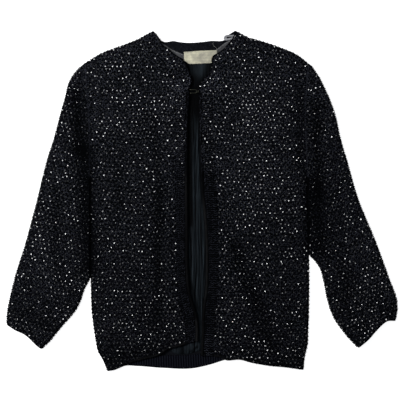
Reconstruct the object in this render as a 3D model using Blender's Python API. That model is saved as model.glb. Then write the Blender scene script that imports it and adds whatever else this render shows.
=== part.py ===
"""Beaded cardigan, laid flat on its back.

A black knit cardigan with a round neck, a stand-up neckband, three-quarter
sleeves and two fronts that are hooked at the neck and hang open below it.
The back lies on the surface, the fronts lie on the back, and each sleeve is
a flattened tube beside the body.

The tables are in millimetres. X is measured from the middle of the back to
the right, and Y from the lowest point of the hem towards the neck. Left and
right are as seen from above, with the hem towards the viewer.
"""

import math

import bmesh
import bpy
import numpy as np

MM = 0.001

# The cloth and the layers that it lies in
WALL = 2.5              # thickness of the knit
SEAM = 0.3              # space between two pieces at a seam
HOLLOW = 3.2            # height of the space between two layers of knit
ROLL = 14.0             # width over which a front curls down to the back
RIM = 0.9               # how far a cut edge is rounded
UPPER = WALL + HOLLOW   # underside of the layer that lies on top
LINING = 1.0            # thickness of satin, tape and label
LOW_LINING = WALL + SEAM

# Trims
BINDING_WIDTH = 4.5
BINDING_HEIGHT = 3.4
TAPE_WIDTH = 11.0
LABEL_SIZE = (56.5, 21.5)
LABEL_PLACE = (8.0, 532.5)
LABEL_TILT = math.radians(2.9)
LABEL_TUCK = (4.5, 3.2) # how far in its lower left corner is folded under
RIB_PITCH = 4.2
RIB_RISE = 0.9
WIRE = 0.45             # radius of the wire of the hook and eye
HOOK_LEVEL = 474.5      # how far up the opening the hook and eye are
EYE_HALF = 2.8          # half the width of the eye
HOOK_HALF = 1.5         # half the space between the hook's two wires

# Finishes: colour, roughness, metallic
BEADED_KNIT = ((0.02, 0.021, 0.025), 0.55, 0.0)
PLAIN_KNIT = ((0.012, 0.013, 0.016), 0.8, 0.0)
BAND_KNIT = ((0.011, 0.012, 0.014), 0.8, 0.0)
ROLLED_EDGE = ((0.02, 0.02, 0.022), 0.6, 0.0)
SATIN_LINING = ((0.014, 0.02, 0.026), 0.35, 0.0)
RIBBED_KNIT = ((0.016, 0.019, 0.024), 0.75, 0.0)
GREY_TAPE = ((0.13, 0.13, 0.14), 0.6, 0.0)
CREAM_LABEL = ((0.66, 0.62, 0.46), 0.7, 0.0)
PALE_SATIN = ((0.55, 0.55, 0.56), 0.4, 0.0)
DULL_WIRE = ((0.16, 0.16, 0.13), 0.4, 0.9)

# Sides of the body, from the hem up to the underarm
SIDE_LEFT = (
    # x, y
    (-150.0, 0.0), (-158.0, 19.0), (-167.0, 36.0), (-170.0, 53.0), (-173.0, 70.0),
    (-177.0, 104.0), (-178.5, 150.0), (-179.0, 240.0), (-180.0, 328.0),
)
SIDE_RIGHT = (
    # x, y
    (182.0, 2.5), (185.0, 27.0), (189.0, 44.0), (190.3, 70.0),
    (191.8, 130.0), (191.5, 197.0), (190.0, 260.0), (189.0, 328.0),
)

# Armholes, from the underarm up to the shoulder point
ARMHOLE_LEFT = (
    # x, y
    (-180.0, 328.0), (-179.0, 380.0), (-180.5, 430.0), (-184.0, 480.0), (-187.0, 523.6),
)
ARMHOLE_RIGHT = (
    # x, y
    (189.0, 328.0), (186.0, 380.0), (184.0, 430.0), (186.0, 480.0), (190.0, 522.0),
)

# Shoulders, from the shoulder point to the foot of the neckband
SHOULDER_LEFT = (
    # x, y
    (-187.0, 523.6), (-178.5, 529.0), (-161.5, 539.0), (-136.0, 549.0),
    (-109.0, 559.0), (-95.0, 565.0),
)
SHOULDER_RIGHT = (
    # x, y
    (190.0, 522.0), (182.0, 529.0), (167.0, 539.0), (143.0, 549.0),
    (114.0, 559.0), (88.4, 566.0),
)

# Seams between a front and its bands: up along the opening, then round the neck
BAND_SEAM_LEFT = (
    # x, y
    (-16.5, 47.0), (-17.0, 75.0), (-22.0, 98.0), (-29.0, 125.0), (-32.0, 150.0),
    (-33.5, 200.0), (-34.0, 316.0), (-34.0, 427.0), (-35.0, 469.0),
)
BAND_SEAM_RIGHT = (
    # x, y
    (29.3, 26.0), (30.5, 56.0), (32.0, 90.0), (34.5, 112.0), (37.0, 136.0),
    (38.0, 170.0), (37.4, 240.0), (34.5, 316.0), (31.0, 375.0), (28.0, 427.0), (27.2, 469.0),
)
NECK_SEAM_LEFT = (
    # x, y
    (-35.0, 469.0), (-36.7, 490.0), (-45.6, 510.0), (-64.6, 534.7), (-80.0, 550.0), (-95.0, 565.0),
)
NECK_SEAM_RIGHT = (
    # x, y
    (27.2, 469.0), (35.7, 484.5), (42.5, 501.5), (47.6, 518.5), (56.0, 532.0),
    (71.4, 547.4), (88.4, 566.0),
)

# Free edges: the opening, from the hem up, and the neckline, up to the neck point
OPENING_LEFT = (
    # x, y
    (3.4, 51.0), (3.4, 78.0), (1.0, 98.6), (-5.0, 117.0), (-10.0, 136.0),
    (-13.2, 170.0), (-13.8, 240.0), (-14.5, 316.0), (-13.6, 427.0), (-12.0, 469.0),
)
OPENING_RIGHT = (
    # x, y
    (8.0, 27.0), (9.5, 56.0), (10.2, 90.0), (12.0, 112.0), (15.3, 136.0),
    (16.5, 170.0), (15.3, 240.0), (8.5, 316.0), (6.8, 375.7), (4.8, 427.0), (4.8, 469.0),
)
NECKLINE_LEFT = (
    # x, y
    (-12.0, 469.0), (-12.0, 478.0), (-8.6, 484.5), (-6.9, 491.5), (-8.0, 497.5), (-12.0, 504.9),
    (-13.3, 511.7), (-14.8, 518.0), (-18.2, 522.8), (-20.8, 527.9), (-25.2, 531.1),
    (-31.3, 534.0), (-38.8, 539.6), (-49.8, 548.6), (-57.3, 554.4), (-59.6, 560.0),
    (-62.5, 565.0), (-66.8, 571.0), (-72.8, 577.3),
)
NECKLINE_RIGHT = (
    # x, y
    (4.8, 469.0), (4.8, 478.0), (5.8, 485.5), (11.4, 494.0), (20.6, 504.2), (25.0, 514.0),
    (26.6, 522.0), (25.8, 528.5), (28.4, 534.6), (35.5, 538.8), (45.9, 546.4), (52.6, 553.4),
    (58.2, 560.0), (63.6, 568.7), (66.0, 578.0),
)

# Lower edges, from left to right
HEM_BACK = (
    # x, y
    (-150.0, 1.5), (-139.0, 3.0), (-129.0, 7.0), (-122.0, 10.0), (-100.0, 10.0), (-59.5, 7.0),
    (0.0, 7.0), (14.0, 10.0), (29.0, 14.0), (42.5, 18.5), (54.0, 21.5), (75.0, 22.0),
    (93.5, 17.5), (121.0, 12.5), (151.0, 9.0), (182.0, 4.0),
)
HEM_LEFT = (
    # x, y
    (-150.0, 0.0), (-133.0, 5.0), (-115.6, 13.6), (-92.0, 20.4), (-58.0, 30.6),
    (-49.0, 37.4), (-30.6, 42.5), (-16.5, 47.0),
)
HEM_RIGHT = (
    # x, y
    (29.3, 26.0), (41.0, 24.0), (49.0, 19.8), (75.0, 20.0), (93.5, 15.0),
    (121.0, 10.0), (151.0, 7.0), (182.0, 2.5),
)

# Back neck, from left to right: the seam of the band and the band's top edge
BACK_NECK_SEAM = (
    # x, y
    (-95.0, 565.0), (-80.0, 563.5), (-68.0, 561.0), (-58.5, 556.5), (-50.0, 551.6), (-42.5, 546.4),
    (-33.5, 542.2), (-21.8, 537.8), (6.8, 535.8), (24.0, 540.8), (35.2, 546.2), (44.5, 553.6),
    (52.2, 558.6), (60.0, 563.2), (72.0, 565.6), (88.4, 566.0),
)
BACK_NECK_TOP = (
    # x, y
    (-72.8, 577.3), (-66.0, 569.5), (-60.5, 562.5), (-54.0, 559.0), (-38.7, 560.7), (-27.7, 558.8),
    (-12.9, 557.6), (6.3, 558.5), (29.0, 561.0), (44.0, 560.9), (49.5, 563.0), (52.0, 568.0),
    (55.5, 571.6), (60.0, 574.2), (66.0, 578.0),
)

# Inside pieces: the lining's lower edge, the top of the hem's inside, and the loop
LINING_HEM = (
    # x, y
    (-44.0, 34.0), (-38.0, 31.0), (-12.0, 30.0), (8.0, 35.0), (24.0, 32.0), (52.0, 32.0),
)
FACING_TOP = (
    # x, y
    (-122.0, 24.5), (-60.0, 27.0), (-12.0, 28.0), (8.0, 30.0), (54.0, 30.5),
)
LOOP_OUTER = (
    # x, y
    (66.0, 570.2), (60.0, 570.0), (53.0, 570.2), (48.0, 568.3), (46.2, 564.8),
    (47.6, 561.6), (52.0, 560.6), (58.0, 562.2), (65.5, 564.4),
)
LOOP_INNER = (
    # x, y
    (66.0, 568.0), (60.0, 567.8), (53.5, 567.9), (50.6, 566.9), (49.6, 565.6),
    (50.4, 564.8), (53.0, 564.6), (57.5, 565.2), (65.0, 566.8),
)
LOOP_FOOT = 568.0       # height above which the loop lies on the neckband
LOOP_CLIMB = 3.2        # distance in which it climbs from there onto the tape

# Sleeves: the outer fold from the shoulder point, the inner fold from the
# underarm in two runs, and the cuff from the outer to the inner fold
SLEEVE_OUTER_LEFT = (
    # x, y
    (-187.0, 523.6), (-194.0, 518.5), (-204.0, 508.0), (-211.0, 498.0), (-216.0, 488.0),
    (-221.0, 467.5), (-229.5, 437.0), (-241.0, 393.0), (-252.0, 359.0), (-269.0, 291.0),
    (-287.0, 223.0), (-308.0, 155.0), (-316.0, 121.0), (-320.0, 100.0), (-321.0, 80.0),
)
SLEEVE_OUTER_RIGHT = (
    # x, y
    (190.0, 522.0), (195.5, 518.5), (202.0, 508.0), (209.0, 498.0), (214.0, 488.0),
    (228.0, 457.0), (235.0, 437.0), (245.0, 393.0), (255.0, 359.0), (275.0, 291.0),
    (303.0, 223.0), (328.0, 155.0), (340.0, 121.0), (341.0, 104.0), (338.0, 86.0),
)
SLEEVE_BESIDE_LEFT = (
    # x, y
    (-180.0, 328.0), (-179.6, 240.0), (-179.3, 158.0),
)
SLEEVE_BESIDE_RIGHT = (
    # x, y
    (189.0, 328.0), (190.5, 260.0), (192.1, 197.0),
)
SLEEVE_INNER_LEFT = (
    # x, y
    (-179.3, 158.0), (-190.0, 138.0), (-195.5, 121.0), (-204.0, 104.0), (-218.0, 87.0),
    (-233.0, 70.0), (-246.5, 53.0), (-262.0, 38.0),
)
SLEEVE_INNER_RIGHT = (
    # x, y
    (192.1, 197.0), (202.0, 187.0), (211.0, 173.0), (216.0, 155.0), (223.0, 121.0),
    (228.0, 104.0), (236.0, 87.0), (248.0, 70.0), (262.0, 53.0), (275.0, 40.0),
)
CUFF_LEFT = (
    # x, y
    (-321.0, 80.0), (-306.0, 70.0), (-291.0, 63.0), (-279.0, 53.0), (-270.0, 44.0), (-262.0, 38.0),
)
CUFF_RIGHT = (
    # x, y
    (338.0, 86.0), (323.0, 85.0), (316.0, 80.0), (306.0, 70.0), (291.0, 53.0), (275.0, 40.0),
)

# The largest folds of the upper layer: a soft ridge or, below zero, a trough
FOLDS = (
    # from x, from y, to x, to y, width, rise
    (-61.0, 340.0, -65.0, 62.0, 10.0, -2.2),
    (-46.0, 330.0, -44.0, 70.0, 8.0, 1.3),
    (-131.0, 372.0, -126.0, 250.0, 12.0, -1.6),
    (-98.0, 170.0, -84.0, 70.0, 12.0, -1.2),
    (-108.0, 470.0, -112.0, 200.0, 16.0, 0.9),
    (62.0, 215.0, 124.0, 50.0, 12.0, -2.2),
    (92.0, 300.0, 150.0, 120.0, 18.0, 1.2),
    (165.0, 492.0, 180.0, 340.0, 10.0, -2.2),
    (100.0, 470.0, 108.0, 300.0, 20.0, 1.0),
    (-200.0, 500.0, -194.0, 372.0, 9.0, -2.4),
    (-196.0, 350.0, -192.0, 190.0, 9.0, -2.0),
    (-236.0, 330.0, -235.0, 175.0, 8.0, -1.8),
    (-282.0, 200.0, -262.0, 90.0, 12.0, 0.6),
    (213.0, 440.0, 204.0, 345.0, 9.0, -2.4),
    (204.0, 350.0, 216.0, 240.0, 9.0, -2.2),
    (253.0, 200.0, 256.0, 105.0, 10.0, -1.4),
    (292.0, 200.0, 300.0, 120.0, 12.0, 0.6),
)

# Creases of the satin in the opening
LINING_FOLDS = (
    # from x, from y, to x, to y, width, rise
    (0.0, 430.0, 1.0, 60.0, 2.6, 1.4),
    (-7.0, 330.0, -5.0, 90.0, 2.4, 1.2),
    (7.5, 400.0, 9.0, 150.0, 2.4, 1.2),
    (-14.0, 300.0, -15.0, 100.0, 3.0, 0.9),
    (14.0, 330.0, 15.0, 130.0, 3.0, 0.9),
    (4.0, 58.0, -14.0, 36.0, 3.0, 1.2),
)


def clear_scene():
    for found in list(bpy.data.objects):
        bpy.data.objects.remove(found, do_unlink=True)


def smooth_run(points, spacing=2.0):
    """Points on a smooth curve through the given ones, a spacing apart."""
    points = np.asarray(points, dtype=float)
    spans = np.linalg.norm(np.diff(points, axis=0), axis=1)
    slopes = np.diff(points, axis=0) / spans[:, None]
    tangents = np.empty_like(points)
    tangents[0] = slopes[0]
    tangents[-1] = slopes[-1]
    before, after = spans[:-1, None], spans[1:, None]
    tangents[1:-1] = (slopes[:-1] * after + slopes[1:] * before) / (before + after)
    pieces = []
    for index, span in enumerate(spans):
        u = np.linspace(0.0, 1.0, max(2, int(span / spacing) + 1))[:, None]
        pieces.append(
            (2 * u**3 - 3 * u**2 + 1) * points[index]
            + (u**3 - 2 * u**2 + u) * span * tangents[index]
            + (3 * u**2 - 2 * u**3) * points[index + 1]
            + (u**3 - u**2) * span * tangents[index + 1]
        )
    return np.concatenate([piece[:-1] for piece in pieces] + [points[-1:]])


def join(*runs):
    """One path through several runs, with a corner where two of them meet."""
    return np.concatenate([run[:-1] for run in runs[:-1]] + [runs[-1]])


def straight(start, end):
    return np.array([start, end], dtype=float)


def along(path, fractions):
    """Points at these fractions of a path's length."""
    lengths = np.concatenate([[0.0], np.cumsum(np.linalg.norm(np.diff(path, axis=0), axis=1))])
    wanted = np.asarray(fractions) * lengths[-1]
    return np.stack([np.interp(wanted, lengths, path[:, axis]) for axis in (0, 1)], axis=-1)


def part_of(path, start, end, count=60):
    return along(path, np.linspace(start, end, count))


def shortened(path, distance):
    """The path without this much of its far end."""
    length = np.linalg.norm(np.diff(path, axis=0), axis=1).sum()
    return part_of(path, 0.0, 1.0 - distance / length, 200)


def beside(path, distance):
    """The path moved sideways, to its left where the distance is above zero."""
    tangents = np.gradient(path, axis=0)
    tangents /= np.linalg.norm(tangents, axis=1)[:, None]
    return path + distance * np.stack([-tangents[:, 1], tangents[:, 0]], axis=-1)


def patch(low, high, left, right, s, t):
    """A grid of points spread between four edges: rows by s, columns by t."""
    s = np.asarray(s)
    t = np.asarray(t)
    first, last = along(left, s)[..., None, :], along(right, s)[..., None, :]
    corners = [first[0, 0], last[0, 0], first[-1, 0], last[-1, 0]]
    across = t[None, :, None]
    up = s[:, None, None]
    below, above = along(low, t), along(high, t)
    below = below + (1 - t)[:, None] * (corners[0] - below[0]) + t[:, None] * (corners[1] - below[-1])
    above = above + (1 - t)[:, None] * (corners[2] - above[0]) + t[:, None] * (corners[3] - above[-1])
    flat = (
        (1 - up) * ((1 - across) * corners[0] + across * corners[1])
        + up * ((1 - across) * corners[2] + across * corners[3])
    )
    return (1 - across) * first + across * last + (1 - up) * below[None] + up * above[None] - flat


def stations(count, crowding=0.55):
    """Fractions from 0 to 1, closer together near both ends."""
    even = np.linspace(0.0, 1.0, count + 1)
    return (1 - crowding) * even + crowding * (1 - np.cos(math.pi * even)) / 2


def shares(runs, divisions):
    """Fractions of a joined path at which each of its runs is divided as given."""
    lengths = [np.linalg.norm(np.diff(run, axis=0), axis=1).sum() for run in runs]
    found = [0.0]
    passed = 0.0
    for length, division in zip(lengths, divisions):
        found += [(passed + length * share) / sum(lengths) for share in division[1:]]
        passed += length
    found[-1] = 1.0
    return np.array(found)


def distance_to(path, plan):
    """How far each point of the plan is from a path."""
    start, step = path[:-1], np.diff(path, axis=0)
    reach = plan[..., None, :] - start
    share = np.clip((reach * step).sum(-1) / (step * step).sum(-1), 0.0, 1.0)
    return np.linalg.norm(reach - share[..., None] * step, axis=-1).min(axis=-1)


def folds(table, plan):
    """Height of the folds at each point of the plan."""
    height = np.zeros(plan.shape[:-1])
    for from_x, from_y, to_x, to_y, width, rise in table:
        start = np.array([from_x, from_y])
        run = np.array([to_x, to_y]) - start
        reach = plan - start
        share = np.clip((reach @ run) / (run @ run), 0.0, 1.0)
        off = np.linalg.norm(reach - share[..., None] * run, axis=-1)
        height += rise * np.exp(-((off / width) ** 2)) * np.sin(math.pi * share) ** 0.6
    return height


def ease(share):
    """A quarter round, from 0 to 1."""
    return np.sin(np.clip(share, 0.0, 1.0) * math.pi / 2)


def finish(name, colour, roughness, metallic):
    material = bpy.data.materials.new(name + "_finish")
    material.use_nodes = True
    shader = material.node_tree.nodes["Principled BSDF"]
    shader.inputs["Base Color"].default_value = (*colour, 1.0)
    shader.inputs["Roughness"].default_value = roughness
    shader.inputs["Metallic"].default_value = metallic
    return material


def make_object(name, points, faces, material):
    """An object that stands at the middle of its own box, from points in millimetres."""
    points = np.asarray(points) * MM
    middle = (points.min(axis=0) + points.max(axis=0)) / 2
    mesh = bpy.data.meshes.new(name)
    mesh.from_pydata((points - middle).tolist(), [], faces)
    shaped = bmesh.new()
    shaped.from_mesh(mesh)
    bmesh.ops.recalc_face_normals(shaped, faces=shaped.faces)
    shaped.to_mesh(mesh)
    shaped.free()
    mesh.shade_smooth()
    mesh.set_sharp_from_angle(angle=math.radians(50))
    mesh.materials.append(material)
    made = bpy.data.objects.new(name, mesh)
    made.location = middle
    bpy.context.scene.collection.objects.link(made)
    return made


def edge_ring(rows, columns):
    """Grid places along the edge of a grid, once round."""
    ring = [(0, column) for column in range(columns)]
    ring += [(row, columns - 1) for row in range(1, rows)]
    ring += [(rows - 1, column) for column in range(columns - 2, -1, -1)]
    ring += [(row, 0) for row in range(rows - 2, 0, -1)]
    return ring


def drawn_in(plan, distance):
    """The plan with its outermost points moved inwards."""
    rows, columns = plan.shape[:2]
    moved = plan.copy()
    for row, column in edge_ring(rows, columns):
        inner = plan[min(max(row, 1), rows - 2), min(max(column, 1), columns - 2)]
        reach = inner - plan[row, column]
        moved[row, column] += reach * min(0.4, distance / np.linalg.norm(reach))
    return moved


def make_wall(name, plan, low, high, material):
    """A cloth wall over a plan, between two heights, with a rounded rim."""
    rows, columns = plan.shape[:2]
    high = np.broadcast_to(high, (rows, columns))
    low = np.broadcast_to(low, (rows, columns))
    top = np.concatenate([drawn_in(plan, RIM), high[..., None]], axis=-1).reshape(-1, 3)
    base = np.concatenate([drawn_in(plan, RIM / 2), low[..., None]], axis=-1).reshape(-1, 3)
    ring = edge_ring(rows, columns)
    rim = [(*plan[place], (low[place] + high[place]) / 2) for place in ring]
    count = rows * columns
    faces = []
    for row in range(rows - 1):
        for column in range(columns - 1):
            at = row * columns + column
            quad = (at, at + 1, at + columns + 1, at + columns)
            faces.append(quad)
            faces.append(tuple(count + index for index in reversed(quad)))
    flat_ring = [row * columns + column for row, column in ring]
    for index, here in enumerate(flat_ring):
        following = (index + 1) % len(ring)
        there = flat_ring[following]
        rim_here, rim_there = 2 * count + index, 2 * count + following
        faces.append((here, rim_here, rim_there, there))
        faces.append((rim_here, count + here, count + there, rim_there))
    return make_object(name, np.concatenate([top, base, rim]), faces, material)


def make_tube(name, rings, material, closed_wall=False):
    """Joins rings of points; a closed wall has an inner skin after its outer one."""
    rings = np.asarray(rings)
    sections, around = rings.shape[:2]
    faces = []
    for section in range(sections - 1):
        for index in range(around):
            following = (index + 1) % around
            start, beyond = section * around, (section + 1) * around
            faces.append((start + index, start + following, beyond + following, beyond + index))
    if closed_wall:
        last = (sections - 1) * around
        for index in range(around):
            following = (index + 1) % around
            faces.append((last + index, last + following, following, index))
    else:
        faces.append(tuple(range(around)))
        faces.append(tuple(range((sections - 1) * around, sections * around)))
    return make_object(name, rings.reshape(-1, 3), faces, material)


# Where the pieces that meet along a curved seam both have their points
BAND_STEPS = np.concatenate([[0.0, 0.008, 0.025], np.linspace(0.06, 1.0, 15)])
NECK_STEPS = np.concatenate([np.linspace(0.0, 0.86, 13), [0.93, 0.975, 1.0]])
BACK_NECK_STEPS = np.linspace(0.0, 1.0, 23)
SHOULDER_STEPS = np.array([0.0, 0.03, 0.1, 0.25, 0.5, 0.75, 1.0])

# Paths shared by the pieces that meet there
side_left = smooth_run(SIDE_LEFT)
side_right = smooth_run(SIDE_RIGHT)
armhole_left = smooth_run(ARMHOLE_LEFT)
armhole_right = smooth_run(ARMHOLE_RIGHT)
shoulder_left = smooth_run(SHOULDER_LEFT)
shoulder_right = smooth_run(SHOULDER_RIGHT)
band_seam_left = smooth_run(BAND_SEAM_LEFT)
band_seam_right = smooth_run(BAND_SEAM_RIGHT)
neck_seam_left = smooth_run(NECK_SEAM_LEFT)
neck_seam_right = smooth_run(NECK_SEAM_RIGHT)
neckline_left = smooth_run(NECKLINE_LEFT)
neckline_right = smooth_run(NECKLINE_RIGHT)
opening_left = smooth_run(OPENING_LEFT)
opening_right = smooth_run(OPENING_RIGHT)
back_neck_seam = smooth_run(BACK_NECK_SEAM)
back_neck_top = smooth_run(BACK_NECK_TOP)
neck_fold_left = straight(shoulder_left[-1], neckline_left[-1])
neck_fold_right = straight(shoulder_right[-1], neckline_right[-1])

# Where the upper layer is joined to the back, so that it curls down to it
closed_edges = (
    side_left,
    join(shoulder_left, neck_fold_left),
    side_right,
    join(shoulder_right, neck_fold_right),
)


def upper_layer(plan):
    """Underside and top of the layer that lies on the back."""
    nearest = np.min([distance_to(edge, plan) for edge in closed_edges], axis=0)
    curl = ease(nearest / ROLL)
    low = LOW_LINING + (UPPER - LOW_LINING) * curl + folds(FOLDS, plan) * curl
    low = np.maximum(low, LOW_LINING)
    return low, low + WALL


def make_back():
    """The back, with the whole width of the garment and a flat underside."""
    outer_left = join(side_left, armhole_left)
    outer_right = join(side_right, armhole_right)
    runs = (shoulder_left, beside(back_neck_seam, -SEAM / 2), shoulder_right[::-1])
    across = shares(runs, (SHOULDER_STEPS, BACK_NECK_STEPS, 1.0 - SHOULDER_STEPS[::-1]))
    plan = patch(smooth_run(HEM_BACK), join(*runs), outer_left, outer_right, stations(18), across)
    make_wall("back", plan, 0.0, WALL, finish("back", *PLAIN_KNIT))


def make_front(name, hem, shoulder, outer, seams, outer_first):
    """A front between the side and armhole, and the seams of its bands."""
    inner = join(*seams)
    left, right = (outer, inner) if outer_first else (inner, outer)
    rows = shares(seams, (BAND_STEPS, NECK_STEPS))
    plan = patch(hem, shoulder, left, right, rows, stations(13))
    low, high = upper_layer(plan)
    make_wall(name, plan, low, high, finish(name, *BEADED_KNIT))


def make_fronts():
    seams_left = [beside(seam, SEAM / 2) for seam in (band_seam_left, neck_seam_left)]
    seams_right = [beside(seam, -SEAM / 2) for seam in (band_seam_right, neck_seam_right)]
    make_front(
        "front_left", smooth_run(HEM_LEFT), shoulder_left,
        join(side_left, armhole_left), seams_left, outer_first=True,
    )
    make_front(
        "front_right", smooth_run(HEM_RIGHT), shoulder_right[::-1],
        join(side_right, armhole_right), seams_right, outer_first=False,
    )


def sleeve_ring(section, radius, wall_radius, top_count=16, floor_count=6, turn=3):
    """One ring of a flattened tube, round a section from its outer to its inner fold."""
    width = np.linalg.norm(np.diff(section, axis=0), axis=1).sum()
    flat = np.linspace(radius, width - radius, top_count)
    turns = np.linspace(0.0, math.pi, turn + 2)[1:-1]
    floor = np.linspace(width - radius, radius, floor_count)
    across = np.concatenate([
        flat,
        width - radius + wall_radius * np.sin(turns),
        floor,
        radius - wall_radius * np.sin(turns),
    ])
    height = np.concatenate([
        np.full(top_count, radius + wall_radius),
        radius + wall_radius * np.cos(turns),
        np.full(floor_count, radius - wall_radius),
        radius - wall_radius * np.cos(turns),
    ])
    place = along(section, across / width)
    fade = ease(np.minimum(flat - radius, width - radius - flat) / ROLL)
    height[:top_count] += folds(FOLDS, place[:top_count]) * fade
    return np.concatenate([place, height[:, None]], axis=-1)


def make_sleeve(name, outer, inner, armhole, cuff):
    """A sleeve as a flattened tube, open at the armhole and at the cuff."""
    radius = (UPPER + WALL) / 2
    fine = np.linspace(0.0, 1.0, 41)
    sections = patch(armhole, cuff, outer, inner, stations(18, 0.4), fine)
    outside = [sleeve_ring(section, radius, radius) for section in sections]
    inside = [sleeve_ring(section, radius, radius - WALL) for section in sections]
    return make_tube(name, outside + inside[::-1], finish(name, *BEADED_KNIT), closed_wall=True)


def make_sleeves():
    clearance = 1.5 * SEAM
    for name, side, armhole, outer, beside_body, inner, cuff in (
        (
            "sleeve_left", 1, armhole_left, SLEEVE_OUTER_LEFT,
            SLEEVE_BESIDE_LEFT, SLEEVE_INNER_LEFT, CUFF_LEFT,
        ),
        (
            "sleeve_right", -1, armhole_right, SLEEVE_OUTER_RIGHT,
            SLEEVE_BESIDE_RIGHT, SLEEVE_INNER_RIGHT, CUFF_RIGHT,
        ),
    ):
        opening = beside(armhole, side * clearance)[::-1]
        outer_fold = join(straight(opening[0], outer[1]), smooth_run(outer[1:]))
        inner_fold = join(smooth_run([opening[-1], *beside_body[1:]]), smooth_run(inner))
        make_sleeve(name, outer_fold, inner_fold, opening, smooth_run(cuff))


def between(outer, inner, s, t):
    """A strip between two paths that run the same way."""
    return patch(straight(outer[0], inner[0]), straight(outer[-1], inner[-1]), outer, inner, s, t)


def make_neckbands():
    """The stand-up band: two beaded front parts and the back part seen from inside."""
    for name, seam, neckline, side in (
        ("neckband_left", neck_seam_left, neckline_left, -1),
        ("neckband_right", neck_seam_right, neckline_right, 1),
    ):
        plan = between(beside(seam, side * SEAM / 2), neckline, NECK_STEPS, stations(4, 0.3))
        low, high = upper_layer(plan)
        make_wall(name, plan, low, high, finish(name, *BEADED_KNIT))
    seam = beside(back_neck_seam, SEAM / 2)
    plan = between(seam, back_neck_top, BACK_NECK_STEPS, stations(3, 0.2))
    make_wall("neckband_back", plan, 0.0, WALL, finish("neckband_back", *PLAIN_KNIT))


def make_edge_bands():
    """The close knit band along each side of the opening."""
    for name, seam, opening, side in (
        ("edge_band_left", band_seam_left, opening_left, -1),
        ("edge_band_right", band_seam_right, opening_right, 1),
    ):
        outer = shortened(beside(seam, side * SEAM / 2), SEAM)
        inner = shortened(beside(opening, -side * (BINDING_WIDTH + 2 * SEAM)), SEAM)
        plan = between(outer, inner, BAND_STEPS, stations(3, 0.3))
        low, high = upper_layer(plan)
        make_wall(name, plan, low, high, finish(name, *BAND_KNIT))


def make_bindings():
    """The rolled edge of the opening, an oval roll from the hem to the neckband."""
    angles = np.linspace(0.0, 2 * math.pi, 9)[:-1]
    for name, opening, side in (
        ("binding_left", opening_left, -1),
        ("binding_right", opening_right, 1),
    ):
        edges = along(shortened(opening, SEAM), BAND_STEPS)
        middles = along(shortened(beside(opening, -side * BINDING_WIDTH / 2), SEAM), BAND_STEPS)
        rings = []
        for edge, middle in zip(edges, middles):
            across = (edge - middle) / np.linalg.norm(edge - middle)
            reach = middle + np.cos(angles)[:, None] * across * BINDING_WIDTH / 2
            height = UPPER + BINDING_HEIGHT / 2 + np.sin(angles) * BINDING_HEIGHT / 2
            rings.append(np.concatenate([reach, height[:, None]], axis=-1))
        make_tube(name, rings, finish(name, *ROLLED_EDGE))


def make_lining():
    """Satin on the back, where the opening shows it, with its upright creases."""
    top = beside(back_neck_seam, -(TAPE_WIDTH + 4 * SEAM))
    top = top[(top[:, 0] > -52.0) & (top[:, 0] < 56.0)]
    left = straight(LINING_HEM[0], top[0])
    right = straight(LINING_HEM[-1], top[-1])
    low = smooth_run(LINING_HEM)
    across = np.concatenate([[0.0, 0.12, 0.24], np.linspace(0.3, 0.68, 14), [0.78, 0.9, 1.0]])
    plan = patch(low, top, left, right, stations(14, 0.2), across)
    creases = folds(LINING_FOLDS, plan)
    low = LOW_LINING + creases * 0.9
    high = LOW_LINING + LINING + creases
    make_wall("back_lining", plan, low, high, finish("back_lining", *SATIN_LINING))


def make_hem_facing():
    """The ribbed inside of the back's hem, each rib raised over a plain underside."""
    hem = beside(smooth_run(HEM_BACK[3:11]), SEAM)
    upper = smooth_run(FACING_TOP)
    length = np.linalg.norm(np.diff(hem, axis=0), axis=1).sum()
    ribs = int(length / RIB_PITCH)
    across = np.linspace(0.0, 1.0, 2 * ribs + 1)
    left = straight(hem[0], upper[0])
    right = straight(hem[-1], upper[-1])
    plan = patch(hem, upper, left, right, stations(3, 0.3), across)
    rise = np.where(np.arange(2 * ribs + 1) % 2 == 1, RIB_RISE, 0.0)
    high = LOW_LINING + LINING + np.broadcast_to(rise, plan.shape[:2])
    make_wall("hem_facing", plan, LOW_LINING, high, finish("hem_facing", *RIBBED_KNIT))


def make_neck_tape():
    """Grey tape on the seam of the back neckband."""
    upper = part_of(beside(back_neck_seam, SEAM), 0.12, 0.88)
    lower = part_of(beside(back_neck_seam, -TAPE_WIDTH), 0.12, 0.88)
    plan = between(lower, upper, stations(16, 0.1), stations(2, 0.0))
    make_wall("neck_tape", plan, LOW_LINING, LOW_LINING + LINING, finish("neck_tape", *GREY_TAPE))


def make_label():
    """The blank woven label, a little off level, with one corner folded under."""
    width, height = LABEL_SIZE
    columns = np.linspace(-width / 2, width / 2, 9)
    across, up = np.meshgrid(columns, np.linspace(-height / 2, height / 2, 4))
    across[0, 0] += LABEL_TUCK[0]
    up[0, 0] += LABEL_TUCK[1]
    turned_x = across * math.cos(LABEL_TILT) - up * math.sin(LABEL_TILT)
    turned_y = across * math.sin(LABEL_TILT) + up * math.cos(LABEL_TILT)
    plan = np.stack([turned_x + LABEL_PLACE[0], turned_y + LABEL_PLACE[1]], axis=-1)
    low = LOW_LINING + LINING + SEAM + 0.35 * np.sin(across / width * 3 * math.pi) ** 2
    make_wall("label", plan, low, low + LINING, finish("label", *CREAM_LABEL))


def make_hanging_loop():
    """A satin loop that comes out under the right neckband and goes back there over the tape."""
    plan = between(smooth_run(LOOP_OUTER), smooth_run(LOOP_INNER), stations(14, 0.0), stations(2, 0.0))
    climb = np.clip((LOOP_FOOT - plan[..., 1]) / LOOP_CLIMB, 0.0, 1.0)
    low = LOW_LINING + (LINING + SEAM) * climb
    make_wall("hanging_loop", plan, low, low + LINING, finish("hanging_loop", *PALE_SATIN))


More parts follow.
